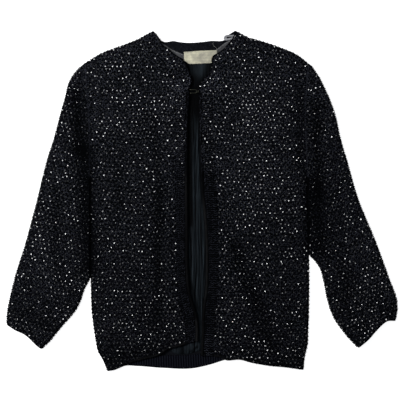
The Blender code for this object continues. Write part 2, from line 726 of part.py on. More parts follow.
def make_wire(name, route, material):
    """Bent wire along a smooth route of x, y and height."""
    curve = bpy.data.curves.new(name, "CURVE")
    curve.dimensions = "3D"
    curve.bevel_depth = WIRE * MM
    curve.bevel_resolution = 1
    curve.use_fill_caps = True
    spline = curve.splines.new("POLY")
    spline.points.add(len(route) - 1)
    middle = np.mean(np.asarray(route), axis=0)
    for point, place in zip(spline.points, route):
        point.co = (*((np.asarray(place) - middle) * MM), 1.0)
    curve.materials.append(material)
    made = bpy.data.objects.new(name, curve)
    made.location = middle * MM
    bpy.context.scene.collection.objects.link(made)
    return made


def half_turn(middle, radius, start_angle, height, count=5):
    """Points round half a circle in plan, turning to the right."""
    angles = start_angle - np.linspace(0.0, math.pi, count)
    return [(middle[0] + radius * math.cos(a), middle[1] + radius * math.sin(a), height) for a in angles]


def make_hook_and_eye():
    """The hook comes from the right, over the end of the eye and back under it."""
    under = UPPER - SEAM - WIRE - 0.1
    raised = under + 1.1
    leg = [(-20.0, under), (-12.8, under), (-9.0, raised), (-1.6, raised)]
    eye = [(x, HOOK_LEVEL + EYE_HALF, z) for x, z in leg]
    eye += half_turn((-1.2, HOOK_LEVEL), EYE_HALF, math.pi / 2, raised)
    eye += [(x, HOOK_LEVEL - EYE_HALF, z) for x, z in reversed(leg)]
    make_wire("neck_eye", eye, finish("neck_eye", *DULL_WIRE))
    over = raised + 2 * WIRE + SEAM
    below = raised - 2 * WIRE - SEAM
    shank = [(15.0, under), (4.6, under), (2.2, over), (0.9, over + 0.1), (0.0, raised + 0.8)]
    bill = [(-0.3, raised), (0.2, below + 0.3), (1.2, below), (2.4, below)]
    hook = [(x, HOOK_LEVEL + HOOK_HALF, z) for x, z in shank + bill]
    hook += half_turn((2.6, HOOK_LEVEL), HOOK_HALF, math.pi / 2, below)
    hook += [(x, HOOK_LEVEL - HOOK_HALF, z) for x, z in reversed(shank + bill)]
    make_wire("neck_hook", hook, finish("neck_hook", *DULL_WIRE))


def centre_on_origin():
    """Hangs every piece from one empty and moves it so that the box rests on the origin."""
    pieces = [found for found in bpy.data.objects if found.type in {"MESH", "CURVE"}]
    bpy.context.view_layer.update()
    shaped = bpy.context.evaluated_depsgraph_get()
    lowest = np.full(3, np.inf)
    highest = np.full(3, -np.inf)
    for piece in pieces:
        seen = piece.evaluated_get(shaped)
        mesh = seen.to_mesh()
        for vertex in mesh.vertices:
            place = np.array(seen.matrix_world @ vertex.co)
            lowest = np.minimum(lowest, place)
            highest = np.maximum(highest, place)
        seen.to_mesh_clear()
    garment = bpy.data.objects.new("cardigan", None)
    bpy.context.scene.collection.objects.link(garment)
    for piece in pieces:
        piece.parent = garment
    middle = (lowest + highest) / 2
    garment.location = (-middle[0], -middle[1], -lowest[2])


clear_scene()
make_back()
make_fronts()
make_sleeves()
make_neckbands()
make_edge_bands()
make_bindings()
make_lining()
make_hem_facing()
make_neck_tape()
make_label()
make_hanging_loop()
make_hook_and_eye()
centre_on_origin()
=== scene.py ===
"""A beaded knit cardigan laid flat: its cloth, sequins and trims, with light and camera.

The tables are in millimetres, as the garment is measured: X from the middle of
the back to the right, Y from the lowest point of the hem towards the neck, both
as seen from above. Every piece is made in those measures and then moved to the
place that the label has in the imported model.
"""

import functools
import math

import bmesh
import bpy
import numpy as np
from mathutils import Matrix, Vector
from mathutils.bvhtree import BVHTree


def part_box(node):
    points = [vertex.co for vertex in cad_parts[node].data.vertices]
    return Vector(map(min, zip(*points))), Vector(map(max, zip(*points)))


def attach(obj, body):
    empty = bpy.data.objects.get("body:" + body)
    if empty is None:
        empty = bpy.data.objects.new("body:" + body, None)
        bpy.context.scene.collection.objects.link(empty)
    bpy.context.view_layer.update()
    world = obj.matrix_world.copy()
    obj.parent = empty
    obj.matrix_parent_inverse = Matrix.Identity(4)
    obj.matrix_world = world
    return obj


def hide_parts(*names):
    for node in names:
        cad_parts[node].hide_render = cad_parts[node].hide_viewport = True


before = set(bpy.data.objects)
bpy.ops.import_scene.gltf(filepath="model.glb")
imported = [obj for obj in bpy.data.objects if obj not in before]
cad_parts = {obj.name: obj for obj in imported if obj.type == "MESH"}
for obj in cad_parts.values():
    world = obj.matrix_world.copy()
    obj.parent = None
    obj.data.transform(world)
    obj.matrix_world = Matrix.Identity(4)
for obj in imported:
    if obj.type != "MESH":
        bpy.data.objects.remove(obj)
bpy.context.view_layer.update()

MM = 0.001

# Cloth and the layers that it lies in
WALL = 2.5
SEAM = 0.3
HOLLOW = 3.2
ROLL = 14.0
RIM = 0.9
UPPER = WALL + HOLLOW
LINING = 1.0
LOW_LINING = WALL + SEAM

# Trims
BINDING = (4.5, 3.4, 0.8)       # width, height, thickness of its cloth
BAND_END = 0.9985               # share of the opening's length that the bands and bindings cover
TAPE_WIDTH = 11.0
LABEL_SIZE = (56.5, 21.5)
LABEL_PLACE = (8.0, 532.5)
LABEL_TILT = math.radians(2.9)
LABEL_TUCK = (4.2, 3.0)         # how far its lower left corner is folded under
TUCK_REACH = (8.8, 6.6)
LABEL_STITCHES = 7              # at each end
RIB_PITCH = 4.2
RIB_RISE = 0.9
RIB_STEPS = 8
THREAD = 0.16
WIRE = 0.45
HOOK_LEVEL = 474.5
EYE_HALF = 2.8
HOOK_HALF = 1.5

# Sequins: their spacing in a row and from row to row, and the radius and height of their rings
PITCH = (7.1, 6.7)
SEQUIN_RINGS = ((1.8, 0.3), (0.95, 0.95), (0.4, 0.95))
SEQUIN_SIDES = 8
SEED_BEAD_TOP = 1.2
LEAN = 0.36                     # spread of how far a sequin leans, in radians
TURNED_SHARE = 0.4              # share of them that is turned to the light, where they are lively
TURNED_LEAN = 0.03              # spread of how far these lean
SUNK = 1.25                     # how far a sequin sinks into wool that lies in a hollow
SHEEN = (0.15, 1.25)            # roughness of the brightest sequins, and how steeply it rises
LEVEL = 0.6                     # upward part of the direction of cloth that counts as level
EDGE_REACH = 1.3                # nearest that a sequin's middle comes to a free edge
PLAIN_BAND_TOP = 322.0          # height up to which the front bands have few sequins
BAND_REACH = {"left": 40.0, "right": 45.0}
FREE_SIDE = {"left": 158.0, "right": 197.0}    # height up to which the sleeve leaves the side free

# Knit stitches: the puffed legs of wool, two to a sequin's space each way
STITCH_SLANT = 0.785
BAND_SLANT = {"left": STITCH_SLANT, "right": 1.12}
STITCH_REACH = 0.8              # nearest that a stitch's middle comes to a free edge
BAND_STITCH_PITCH = 3.8
BAND_COLUMNS = 5
SEAM_STITCH_PITCH = 1.8
STITCH_POINTS = (
    # across, along, height
    (0.0, -2.5, -0.1), (0.75, -1.2, -0.1), (0.0, -1.2, 0.8), (-0.75, -1.2, -0.1),
    (0.75, 1.2, -0.1), (0.0, 1.2, 0.8), (-0.75, 1.2, -0.1), (0.0, 2.5, -0.1),
)
STITCH_FACES = ((0, 1, 2), (0, 2, 3), (1, 4, 5, 2), (2, 5, 6, 3), (4, 7, 5), (5, 7, 6))

# Light and camera
KEY_FROM = (-1.02, 0.42, 1.24)
WINDOW_FROM = (-1.3, 1.0, 1.8)
VIEW_WIDTH = 680.0
LENS = 85.0
SENSOR = 36.0
CAMERA_AT = (-3.3 * MM, 1.7 * MM, VIEW_WIDTH * MM * LENS / SENSOR)

# Lines of each half as x, y. The side runs from the hem up to the underarm, the armhole on to
# the shoulder point, and the shoulder on to the foot of the neckband. The seams of the front's
# bands run up along the opening and on round the neck, and the free edges beside them do too,
# up to the neck point. The hem runs from left to right. A sleeve has its outer fold from the
# shoulder point, its inner fold from the underarm, first beside the body and then free of it,
# the cuff from the outer to the inner fold, and the line that its rows of sequins are square to.
LEFT = {
    "side": (
        (-150, 0), (-158, 19), (-167, 36), (-170, 53), (-173, 70), (-177, 104), (-178.5, 150),
        (-179, 240), (-180, 328),
    ),
    "armhole": ((-180, 328), (-179, 380), (-180.5, 430), (-184, 480), (-187, 523.6)),
    "shoulder": ((-187, 523.6), (-178.5, 529), (-161.5, 539), (-136, 549), (-109, 559), (-95, 565)),
    "band_seam": (
        (-16.5, 47), (-17, 75), (-22, 98), (-29, 125), (-32, 150), (-33.5, 200), (-34, 316),
        (-34, 427), (-35, 469),
    ),
    "neck_seam": ((-35, 469), (-36.7, 490), (-45.6, 510), (-64.6, 534.7), (-80, 550), (-95, 565)),
    "opening": (
        (3.4, 51), (3.4, 78), (1, 98.6), (-5, 117), (-10, 136), (-13.2, 170), (-13.8, 240),
        (-14.5, 316), (-13.6, 427), (-12, 469),
    ),
    "neckline": (
        (-12, 469), (-12, 478), (-8.6, 484.5), (-6.9, 491.5), (-8, 497.5), (-12, 504.9),
        (-13.3, 511.7), (-14.8, 518), (-18.2, 522.8), (-20.8, 527.9), (-25.2, 531.1), (-31.3, 534),
        (-38.8, 539.6), (-49.8, 548.6), (-57.3, 554.4), (-59.6, 560), (-62.5, 565), (-66.8, 571),
        (-72.8, 577.3),
    ),
    "hem": (
        (-150, 0), (-133, 5), (-115.6, 13.6), (-92, 20.4), (-58, 30.6), (-49, 37.4), (-30.6, 42.5),
        (-16.5, 47),
    ),
    "sleeve_outer": (
        (-187, 523.6), (-194, 518.5), (-204, 508), (-211, 498), (-216, 488), (-221, 467.5),
        (-229.5, 437), (-241, 393), (-252, 359), (-269, 291), (-287, 223), (-308, 155), (-316, 121),
        (-320, 100), (-321, 80),
    ),
    "sleeve_beside": ((-180, 328), (-179.6, 240), (-179.3, 158)),
    "sleeve_inner": (
        (-179.3, 158), (-190, 138), (-195.5, 121), (-204, 104), (-218, 87), (-233, 70), (-246.5, 53),
        (-262, 38),
    ),
    "cuff": ((-321, 80), (-306, 70), (-291, 63), (-279, 53), (-270, 44), (-262, 38)),
    "sleeve_line": ((-170, 540), (-192, 440), (-218, 340), (-247, 230), (-274, 125), (-304, 10)),
}
RIGHT = {
    "side": (
        (182, 2.5), (185, 27), (189, 44), (190.3, 70), (191.8, 130), (191.5, 197), (190, 260),
        (189, 328),
    ),
    "armhole": ((189, 328), (186, 380), (184, 430), (186, 480), (190, 522)),
    "shoulder": ((190, 522), (182, 529), (167, 539), (143, 549), (114, 559), (88.4, 566)),
    "band_seam": (
        (29.3, 26), (30.5, 56), (32, 90), (34.5, 112), (37, 136), (38, 170), (37.4, 240), (34.5, 316),
        (31, 375), (28, 427), (27.2, 469),
    ),
    "neck_seam": (
        (27.2, 469), (35.7, 484.5), (42.5, 501.5), (47.6, 518.5), (56, 532), (71.4, 547.4), (88.4, 566),
    ),
    "opening": (
        (8, 27), (9.5, 56), (10.2, 90), (12, 112), (15.3, 136), (16.5, 170), (15.3, 240), (8.5, 316),
        (6.8, 375.7), (4.8, 427), (4.8, 469),
    ),
    "neckline": (
        (4.8, 469), (4.8, 478), (5.8, 485.5), (11.4, 494), (20.6, 504.2), (25, 514), (26.6, 522),
        (25.8, 528.5), (28.4, 534.6), (35.5, 538.8), (45.9, 546.4), (52.6, 553.4), (58.2, 560),
        (63.6, 568.7), (66, 578),
    ),
    "hem": ((29.3, 26), (41, 24), (49, 19.8), (75, 20), (93.5, 15), (121, 10), (151, 7), (182, 2.5)),
    "sleeve_outer": (
        (190, 522), (195.5, 518.5), (202, 508), (209, 498), (214, 488), (228, 457), (235, 437),
        (245, 393), (255, 359), (275, 291), (303, 223), (328, 155), (340, 121), (341, 104), (338, 86),
    ),
    "sleeve_beside": ((189, 328), (190.5, 260), (192.1, 197)),
    "sleeve_inner": (
        (192.1, 197), (202, 187), (211, 173), (216, 155), (223, 121), (228, 104), (236, 87), (248, 70),
        (262, 53), (275, 40),
    ),
    "cuff": ((338, 86), (323, 85), (316, 80), (306, 70), (291, 53), (275, 40)),
    "sleeve_line": ((176, 540), (196, 440), (218, 345), (247, 240), (282, 130), (322, 10)),
}
HALVES = {"left": LEFT, "right": RIGHT}
SEEN_EDGES = ("side", "shoulder", "hem", "cuff", "opening", "neckline", "sleeve_outer", "sleeve_inner")

# The back's lines from left to right: its hem, the seam of the neckband and the band's top edge
HEM_BACK = (
    (-150, 1.5), (-139, 3), (-129, 7), (-122, 10), (-100, 10), (-59.5, 7), (0, 7), (14, 10), (29, 14),
    (42.5, 18.5), (54, 21.5), (75, 22), (93.5, 17.5), (121, 12.5), (151, 9), (182, 4),
)
BACK_NECK_SEAM = (
    (-95, 565), (-80, 563.5), (-68, 561), (-58.5, 556.5), (-50, 551.6), (-42.5, 546.4), (-33.5, 542.2),
    (-21.8, 537.8), (6.8, 535.8), (24, 540.8), (35.2, 546.2), (44.5, 553.6), (52.2, 558.6),
    (60, 563.2), (72, 565.6), (88.4, 566),
)
BACK_NECK_TOP = (
    (-72.8, 577.3), (-66, 569.5), (-60.5, 562.5), (-54, 559), (-38.7, 560.7), (-27.7, 558.8),
    (-12.9, 557.6), (6.3, 558.5), (29, 561), (44, 560.9), (49.5, 563), (52, 568), (55.5, 571.6),
    (60, 574.2), (66, 578),
)

# Inside pieces: the lining's lower edge, the top of the hem's inside, the loop and a loose thread
LINING_HEM = ((-44, 34), (-38, 31), (-12, 30), (8, 35), (24, 32), (52, 32))
LINING_TOP = (-52.0, 56.0)      # how far its top reaches to each side
FACING_TOP = ((-122, 24.5), (-60, 27), (-12, 28), (8, 30), (54, 30.5))
LOOP_OUTER = (
    (66, 570.2), (60, 570), (53, 570.2), (48, 568.3), (46.2, 564.8), (47.6, 561.6), (52, 560.6),
    (58, 562.2), (65.5, 564.4),
)
LOOP_INNER = (
    (66, 568), (60, 567.8), (53.5, 567.9), (50.6, 566.9), (49.6, 565.6), (50.4, 564.8), (53, 564.6),
    (57.5, 565.2), (65, 566.8),
)
LOOP_FOOT = 568.0
LOOP_CLIMB = 3.2
LOOSE_THREAD = ((35.6, 544.5), (35, 547.1), (32.6, 549.8), (29.8, 552.2), (28.2, 554.9), (29.4, 557.6))

# Where along a hem its turned edge shows
HEM_TURN = {"left": (0.28, 0.995), "right": (0.005, 0.45)}

# Folds of the upper layer and creases of the satin, each a line with its two ends as x, y, its
# width and its rise, which is below zero for a trough
FOLDS = (
    (-61, 340, -65, 62, 10, -2.2), (-46, 330, -44, 70, 8, 1.3), (-131, 372, -126, 250, 12, -1.6),
    (-98, 170, -84, 70, 12, -1.2), (-108, 470, -112, 200, 16, 0.9), (62, 215, 124, 50, 12, -2.2),
    (92, 300, 150, 120, 18, 1.2), (165, 492, 180, 340, 10, -2.2), (100, 470, 108, 300, 20, 1),
    (-200, 500, -194, 372, 9, -2.4), (-196, 350, -192, 190, 9, -2), (-236, 330, -235, 175, 8, -1.8),
    (-282, 200, -262, 90, 12, 0.6), (213, 440, 204, 345, 9, -2.4), (204, 350, 216, 240, 9, -2.2),
    (253, 200, 256, 105, 10, -1.4), (292, 200, 300, 120, 12, 0.6),
)
LINING_FOLDS = (
    (-4.5, 440, -4, 60, 1.9, 1), (3, 420, 3.5, 90, 1.5, 1.1), (8, 330, 10, 120, 1.6, 0.9),
    (-1, 290, -0.5, 150, 1.1, 0.7), (-9.5, 400, -9, 250, 1.3, 0.6), (-14, 300, -15, 100, 2.2, 0.7),
    (14, 330, 15, 130, 2.2, 0.7), (6, 64, -16, 33, 1.3, 1.2), (0, 60, -21, 33, 1.3, 1.1),
    (11, 62, -8, 33, 1.2, 1), (17, 60, 2, 34, 1.2, 0.9), (-10, 505, -6, 482, 2, 0.4),
    (3, 515, 2, 485, 2, 0.4),
)

# Painted shade and painted light on the cloth, the satin's first: darker where it lies in a
# hollow, a fold or the shadow of an edge, paler where light falls on it. The last number of
# each line is its change of tone
LINING_SHADES = (
    (0.3, 436, -0.2, 300, 1, -1.5), (5.6, 440, 5.6, 370, 0.9, -1.2), (-11.3, 470, -10.2, 250, 4.4, -3.2),
    (-12, 262, -12, 140, 3.4, -0.9), (-8.6, 226, -8.4, 180, 1, -2.2), (-9, 150, 3, 106, 2, -1.6),
    (-4, 462, 2, 450, 17, -3.6), (22, 522, 12, 492, 6, -1), (11, 518, 11, 504, 7, 0.7),
    (-3, 493, -1, 482, 8, -1.5), (-10, 516, -4, 500, 6, -0.5), (-2, 380, 0, 300, 8, 0.45),
    (12, 124, 12.5, 95, 1.2, -1.8), (3.2, 43, -12, 32, 1.2, -1.8), (3.2, 43, -9, 28, 1.1, -1.6),
    (-50, 36, -18, 42, 8, 0.3), (-8, 44, 22, 36, 8, 0.5),
)
SHADES = (
    (-200, 470, -196, 375, 14.5, -1.35), (-189, 375, -179, 175, 14, -1.5), (176, 485, 180, 345, 9, -0.8),
    (203, 445, 209, 300, 10, -0.9), (200, 310, 207, 215, 19, -1.2), (-72, 427, -61, 300, 9, -0.5),
    (-61, 300, -66, 75, 10, -0.9), (-131, 376, -126, 274, 9, -0.5), (-98, 170, -84, 70, 10, -0.4),
    (66, 210, 129, 44, 12, -0.9), (-150, 22, -60, 34, 17, -0.8), (60, 20, 182, 14, 14, -0.5),
    (-236, 308, -235, 155, 8, -0.5), (-304, 104, -257, 78, 13, -0.5), (304, 121, 330, 90, 14, -0.5),
    (253, 165, 256, 110, 11, -0.5), (-31, 480, -33, 465, 16, 0.6), (30, 492, 28, 478, 15, 0.6),
    (-8.5, 483, -13, 505, 4, 1), (105, 470, 112, 320, 42, 0.3), (-272, 215, -262, 150, 22, 0.3),
    (285, 230, 305, 110, 26, 0.4), (70, 360, 80, 250, 34, 0.15), (16, 28, 20, 60, 9, 0.7),
)
RIM_SHADE = 3.0                 # how far in from an edge the wool is darker
FADE_DOWN = 0.45                # how much darker the wool is at the hem than at the neck

# How pale the bindings are from the hem up, as the height and how pale they are there. Towards
# the neck the left one is dark with painted shade, where its band rolls inward
BINDING_TONES = {
    "left": (
        (48, 0.8), (84, 0.6), (92, 0.1), (136, 0.12), (150, 0.3), (200, 0.22), (262, 0.28), (280, 0.42),
        (325, 0.4), (352, 0.03), (480, 0.03),
    ),
    "right": (
        (25, 0.3), (60, 0.3), (90, 0.15), (118, 0.25), (130, 0.55), (280, 0.55), (300, 0.1), (480, 0.05),
    ),
}

# Heights above which knitted stitches cover a binding: where they start, and where they are full
STITCHED_FROM = {"left": (320.0, 450.0), "right": (320.0, 370.0)}

# How lively the sequins are: all over, and where more than elsewhere
SHINE_BASE = 1.07
SHINE = (
    # x, y, reach across, reach along, added liveliness
    (110, 440, 42, 50, 1.9), (75, 480, 30, 30, 0.5), (-90, 440, 45, 45, 0.9), (-155, 410, 14, 22, 1.3),
    (-48, 440, 16, 45, 1.1), (95, 310, 38, 60, 1), (-75, 90, 50, 60, 0.9), (70, 150, 28, 60, 0.7),
    (-95, 260, 50, 65, 0.35), (-265, 250, 22, 60, 0.9), (-235, 150, 30, 45, 0.6),
    (290, 110, 30, 50, 0.7), (145, 45, 40, 40, 0.5), (-215, 430, 20, 60, 0.9), (225, 420, 25, 60, 0.6),
    (-140, 515, 45, 25, 0.8), (-300, 72, 24, 14, 2), (305, 68, 28, 14, 1.2),
)


def smooth_run(points, spacing=2.0):
    """Points on a smooth curve through the given ones, a spacing apart."""
    points = np.asarray(points, dtype=float)
    steps = np.diff(points, axis=0)
    spans = np.linalg.norm(steps, axis=1)
    slopes = steps / spans[:, None]
    before, after = spans[:-1, None], spans[1:, None]
    bends = (slopes[:-1] * after + slopes[1:] * before) / (before + after)
    tangents = np.concatenate([slopes[:1], bends, slopes[-1:]])
    pieces = []
    for index, span in enumerate(spans):
        u = np.linspace(0.0, 1.0, max(2, int(span / spacing) + 1))[:-1, None]
        pieces.append(
            (2 * u**3 - 3 * u**2 + 1) * points[index]
            + (u**3 - 2 * u**2 + u) * span * tangents[index]
            + (3 * u**2 - 2 * u**3) * points[index + 1]
            + (u**3 - u**2) * span * tangents[index + 1]
        )
    return np.concatenate([*pieces, points[-1:]])


def join(*runs):
    """One path through several runs, with a corner where two of them meet."""
    return np.concatenate([*[run[:-1] for run in runs[:-1]], runs[-1]])


def straight(start, end):
    return np.array([start, end], dtype=float)


def length_of(path):
    return np.linalg.norm(np.diff(path, axis=0), axis=1).sum()


def along(path, fractions):
    """Points at these fractions of a path's length."""
    steps = np.linalg.norm(np.diff(path, axis=0), axis=1)
    lengths = np.concatenate([[0.0], np.cumsum(steps)])
    wanted = np.asarray(fractions) * lengths[-1]
    return np.stack([np.interp(wanted, lengths, axis) for axis in path.T], axis=-1)


def part_of(path, start, end, count=60):
    return along(path, np.linspace(start, end, count))


def heading(path, fractions, reach):
    """Which way the path runs at these fractions of its length."""
    return along(path, np.minimum(fractions + reach, 1.0)) - along(path, np.maximum(fractions - reach, 0.0))


def unit(vectors):
    return vectors / np.linalg.norm(vectors, axis=-1, keepdims=True)


def left_of(ways):
    """Directions in plan a quarter turn to the left of these."""
    return unit(np.stack([-ways[..., 1], ways[..., 0]], axis=-1))


def beside(path, distance):
    """The path moved sideways, to its left where the distance is above zero."""
    return path + distance * left_of(np.gradient(path, axis=0))


def raised(places, height):
    """Places in plan, with their height."""
    return np.concatenate([places, np.broadcast_to(height, places.shape[:-1])[..., None]], axis=-1)


def patch(low, high, left, right, s, t):
    """A grid of points spread between four edges: rows by s, columns by t."""
    first, last = along(left, s)[:, None], along(right, s)[:, None]
    across, up = t[:, None], s[:, None, None]
    below, above = along(low, t), along(high, t)
    below = below + (1 - across) * (first[0] - below[0]) + across * (last[0] - below[-1])
    above = above + (1 - across) * (first[-1] - above[0]) + across * (last[-1] - above[-1])
    flat = (
        (1 - up) * ((1 - across) * first[0] + across * last[0])
        + up * ((1 - across) * first[-1] + across * last[-1])
    )
    return (1 - across) * first + across * last + (1 - up) * below + up * above - flat


def strip(outer, inner, s, t):
    """A grid between two paths that run up the same way, with straight ends."""
    return patch(straight(outer[0], inner[0]), straight(outer[-1], inner[-1]), outer, inner, s, t)


def panel(low, high, s, t):
    """A grid between two paths that run across, with straight sides."""
    return patch(low, high, straight(low[0], high[0]), straight(low[-1], high[-1]), s, t)


def stations(count, crowding):
    """Fractions from 0 to 1, closer together near both ends."""
    even = np.linspace(0.0, 1.0, count + 1)
    return (1 - crowding) * even + crowding * (1 - np.cos(math.pi * even)) / 2


def near(start, end, places):
    """How far along a line each place lies, as a share of the line, and how far from it."""
    step, reach = end - start, places - start
    share = np.clip((reach @ step) / (step @ step), 0.0, 1.0)
    return share, np.linalg.norm(reach - share[..., None] * step, axis=-1)


def distance_to(path, places):
    nearest = np.inf
    for start, end in zip(path, path[1:]):
        nearest = np.minimum(nearest, near(start, end, places)[1])
    return nearest


def folds(table, places, taper=0.6):
    """Height of the folds at each place; they die away to their ends with the taper."""
    height = np.zeros(places.shape[:-1])
    for *ends, width, rise in table:
        share, off = near(*np.array(ends, dtype=float).reshape(2, 2), places)
        height += rise * np.exp(-((off / width) ** 2)) * np.sin(math.pi * share) ** taper
    return height


def painted_shading(table, places):
    """How much painted light and shade brighten or darken the cloth at each place."""
    return np.exp(folds(table, places, 0.0))


def wool_painted_shading(places):
    """The same for the wool: painted shade, darkest where it turns under at an edge; darker towards the
    hem.
    """
    nearest = np.min([distance_to(edge, places) for edge in outline], axis=0)
    rim = 1 - 0.85 * np.exp(-((nearest / RIM_SHADE) ** 2))
    return rim * painted_shading(SHADES, places) * np.exp(FADE_DOWN * (places[..., 1] / 570.0 - 1.0))


def hollow_at(spots):
    """How deep in the painted shade of a hollow each spot lies, from 0 to 1."""
    return 1 - np.minimum(painted_shading(SHADES, spots[:, :2]), 1.0)


def ripple(plan):
    """Small uneven swells of knit that lies free, half a millimetre at most."""
    x, y = plan[..., 0], plan[..., 1]
    return (
        0.22 * np.sin(x / 9.7 + 1.3 * np.sin(y / 41.0))
        + 0.20 * np.sin(y / 12.3 + 1.7 * np.sin(x / 33.0) + 0.8)
        + 0.16 * np.sin((x + y) / 7.9 + 2.1)
        + 0.14 * np.sin((x - 1.6 * y) / 15.1 + 0.4)
    )


def ease(share):
    """A quarter round, from 0 to 1."""
    return np.sin(np.clip(share, 0.0, 1.0) * math.pi / 2)


# Paths shared by the pieces that meet there
paths = {
    name: {part: smooth_run(points) for part, points in half.items()} for name, half in HALVES.items()
}
back_neck_seam = smooth_run(BACK_NECK_SEAM)
back_neck_top = smooth_run(BACK_NECK_TOP)

# Where the upper layer is joined to the back, so that it curls down to it
closed_edges = []
for half_paths in paths.values():
    half_paths["neck_fold"] = straight(half_paths["shoulder"][-1], half_paths["neckline"][-1])
    closed_edges += [half_paths["side"], join(half_paths["shoulder"], half_paths["neck_fold"])]

# Where the garment's edges are seen
outline = [smooth_run(half[part], 8.0) for half in HALVES.values() for part in SEEN_EDGES]

label_low, label_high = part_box("label")
label_middle = (np.array(label_low) + np.array(label_high)) / 2 / MM
shift = np.array([label_middle[0] - LABEL_PLACE[0], label_middle[1] - LABEL_PLACE[1], 0.0])


def halves(tens):
    """Name, hand and seed of each half; the hand is -1 on the left and 1 on the right."""
    return ("left", -1, tens + 1), ("right", 1, tens + 2)


def paths_of(name, *parts):
    return [paths[name][part] for part in parts]


class Value:
    """A socket that takes part in sums and products."""

    def __init__(self, owner, socket):
        self.owner = owner
        self.socket = socket

    def do(self, operation, *others):
        values = dict(enumerate((self, *others)))
        return self.owner.node("ShaderNodeMath", {"operation": operation}, values)

    def __add__(self, other):
        return self.do("ADD", other)

    __radd__ = __add__

    def __sub__(self, other):
        return self.do("SUBTRACT", other)

    def __rsub__(self, other):
        return self.owner.node("ShaderNodeMath", {"operation": "SUBTRACT"}, {0: other, 1: self})

    def __mul__(self, other):
        return self.do("MULTIPLY", other)

    __rmul__ = __mul__


class Finish:
    """A material and the nodes that make its pattern."""

    def __init__(self, name, colour, roughness, metallic=0.0, specular=0.02, sheen=0.0):
        self.material = bpy.data.materials.new(name)
        self.material.use_nodes = True
        self.tree = self.material.node_tree
        self.shader = self.tree.nodes["Principled BSDF"]
        constants = {
            "Base Color": (*colour, 1.0), "Roughness": roughness, "Metallic": metallic,
            "Specular IOR Level": specular, "Sheen Weight": sheen, "Sheen Roughness": 0.5,
        }
        for socket, value in constants.items():
            self.shader.inputs[socket].default_value = value

    def node(self, kind, settings=None, sockets=None, output=0):
        """Adds a node: its settings first, then the values or links of its sockets."""
        made = self.tree.nodes.new(kind)
        for name, value in (settings or {}).items():
            setattr(made, name, value)
        for name, value in (sockets or {}).items():
            if isinstance(value, Value):
                self.tree.links.new(value.socket, made.inputs[name])
            else:
                made.inputs[name].default_value = value
        return Value(self, made.outputs[output])

    def spread(self, value, low, high, start=0.0, end=1.0):
        """The value's range from start to end, laid out from low to high."""
        sockets = {"Value": value, "From Min": start, "From Max": end, "To Min": low, "To Max": high}
        return self.node("ShaderNodeMapRange", None, sockets)

    def cloth(self):
        """The place on the cloth, counted in sequins across and along."""
        place = self.node("ShaderNodeUVMap", {"uv_map": "cloth"})
        return [self.node("ShaderNodeSeparateXYZ", None, {0: place}, axis) for axis in (0, 1)]

    def own(self):
        """The tone that each point carries: painted light and shade on the wool, satin, ribs and loop, a
        sequin's roughness.
        """
        return self.node("ShaderNodeAttribute", {"attribute_name": "own"}, None, "Fac")

    def noise(self, scale, detail=2.0, stretch=(1.0, 1.0, 1.0)):
        place = self.node("ShaderNodeTexCoord", None, None, "Object")
        sizes = tuple(scale * size for size in stretch)
        place = self.node("ShaderNodeMapping", None, {"Vector": place, "Scale": sizes})
        return self.node("ShaderNodeTexNoise", None, {"Vector": place, "Scale": 1.0, "Detail": detail})

    def feed(self, socket, value):
        self.tree.links.new(value.socket, self.shader.inputs[socket])

    def colour(self, share, dark, pale):
        """Colours the surface from dark, where the share is 0, to pale."""
        sockets = {0: share, 6: (*dark, 1.0), 7: (*pale, 1.0)}
        self.feed("Base Color", self.node("ShaderNodeMix", {"data_type": "RGBA"}, sockets, 2))

    def relief(self, height, distance):
        """Raises the surface by the height, up to a distance in metres."""
        self.feed("Normal", self.node("ShaderNodeBump", None, {"Height": height, "Distance": distance}))

    def knitting(self, count):
        """Rows of V-shaped stitches, so many to a sequin's space."""
        across, upward = self.cloth()
        leg = (across * count).do("FRACT") - 0.5
        slant = leg.do("ABSOLUTE")
        wave = ((upward * count + slant) * math.tau).do("COSINE")
        crown = 1 - (slant - 0.25).do("ABSOLUTE") * 3.0
        return (wave * 0.5 + 0.5) * crown


def beaded_knit():
    """The dark ground of the knit, under its puffed stitches."""
    made = Finish("beaded_knit_cloth", (0.003, 0.0033, 0.0043), 0.9)
    stitch = made.knitting(2.0)
    fuzz = made.noise(420.0, 3.0)
    # The tone it carries is the wool's painted shade and light.
    shade = made.spread(stitch * 0.3 + fuzz, 0.0, 1.0, 0.35, 1.0) * made.own()
    made.colour(shade, (0.0002, 0.0003, 0.0006), (0.0034, 0.0038, 0.0052))
    made.relief(stitch * 0.5 + fuzz * 0.5, 0.0012)
    return made.material


def wool():
    """Soft black wool, no two stitches of the same tone, each also carrying the wool's painted shade and
    light.
    """
    made = Finish("wool_stitches", (0.02, 0.021, 0.027), 0.9)
    shade = made.own() * (made.noise(1500.0) * 0.8 + 0.6)
    made.colour(shade, (0.0002, 0.0003, 0.0006), (0.0505, 0.0538, 0.0695))
    return made.material


def sequin_black():
    """Black, from glossy to scratched dull: every sequin carries its own roughness."""
    made = Finish("sequin_black", (0.003, 0.0033, 0.0042), 0.16, specular=0.35)
    made.colour(made.own(), (0.003, 0.0034, 0.0044), (0.001, 0.0012, 0.0018))
    made.feed("Roughness", made.own())
    return made.material


def plain_knit(name, shade):
    made = Finish(name, shade, 0.9)
    stitch = made.knitting(3.0)
    fuzz = made.noise(900.0, 3.0)
    made.colour(stitch * 0.7 + fuzz * 0.3, tuple(0.3 * part for part in shade), shade)
    made.relief(stitch + fuzz * 0.3, 0.0007)
    return made.material


def rolled_knit():
    """Smooth close knitting that rolls over at an edge, paler in places; the tone it carries holds painted
    shade.
    """
    made = Finish("rolled_knit_edge", (0.009, 0.009, 0.0095), 0.8, specular=0.03)
    stitch = made.knitting(4.0)
    paleness = made.own() * (made.noise(120.0) + 0.2) * (stitch * 0.9 + 0.5)
    made.colour(paleness, (0.0005, 0.0006, 0.0009), (0.0235, 0.0236, 0.0245))
    made.relief(stitch, 0.0005)
    return made.material


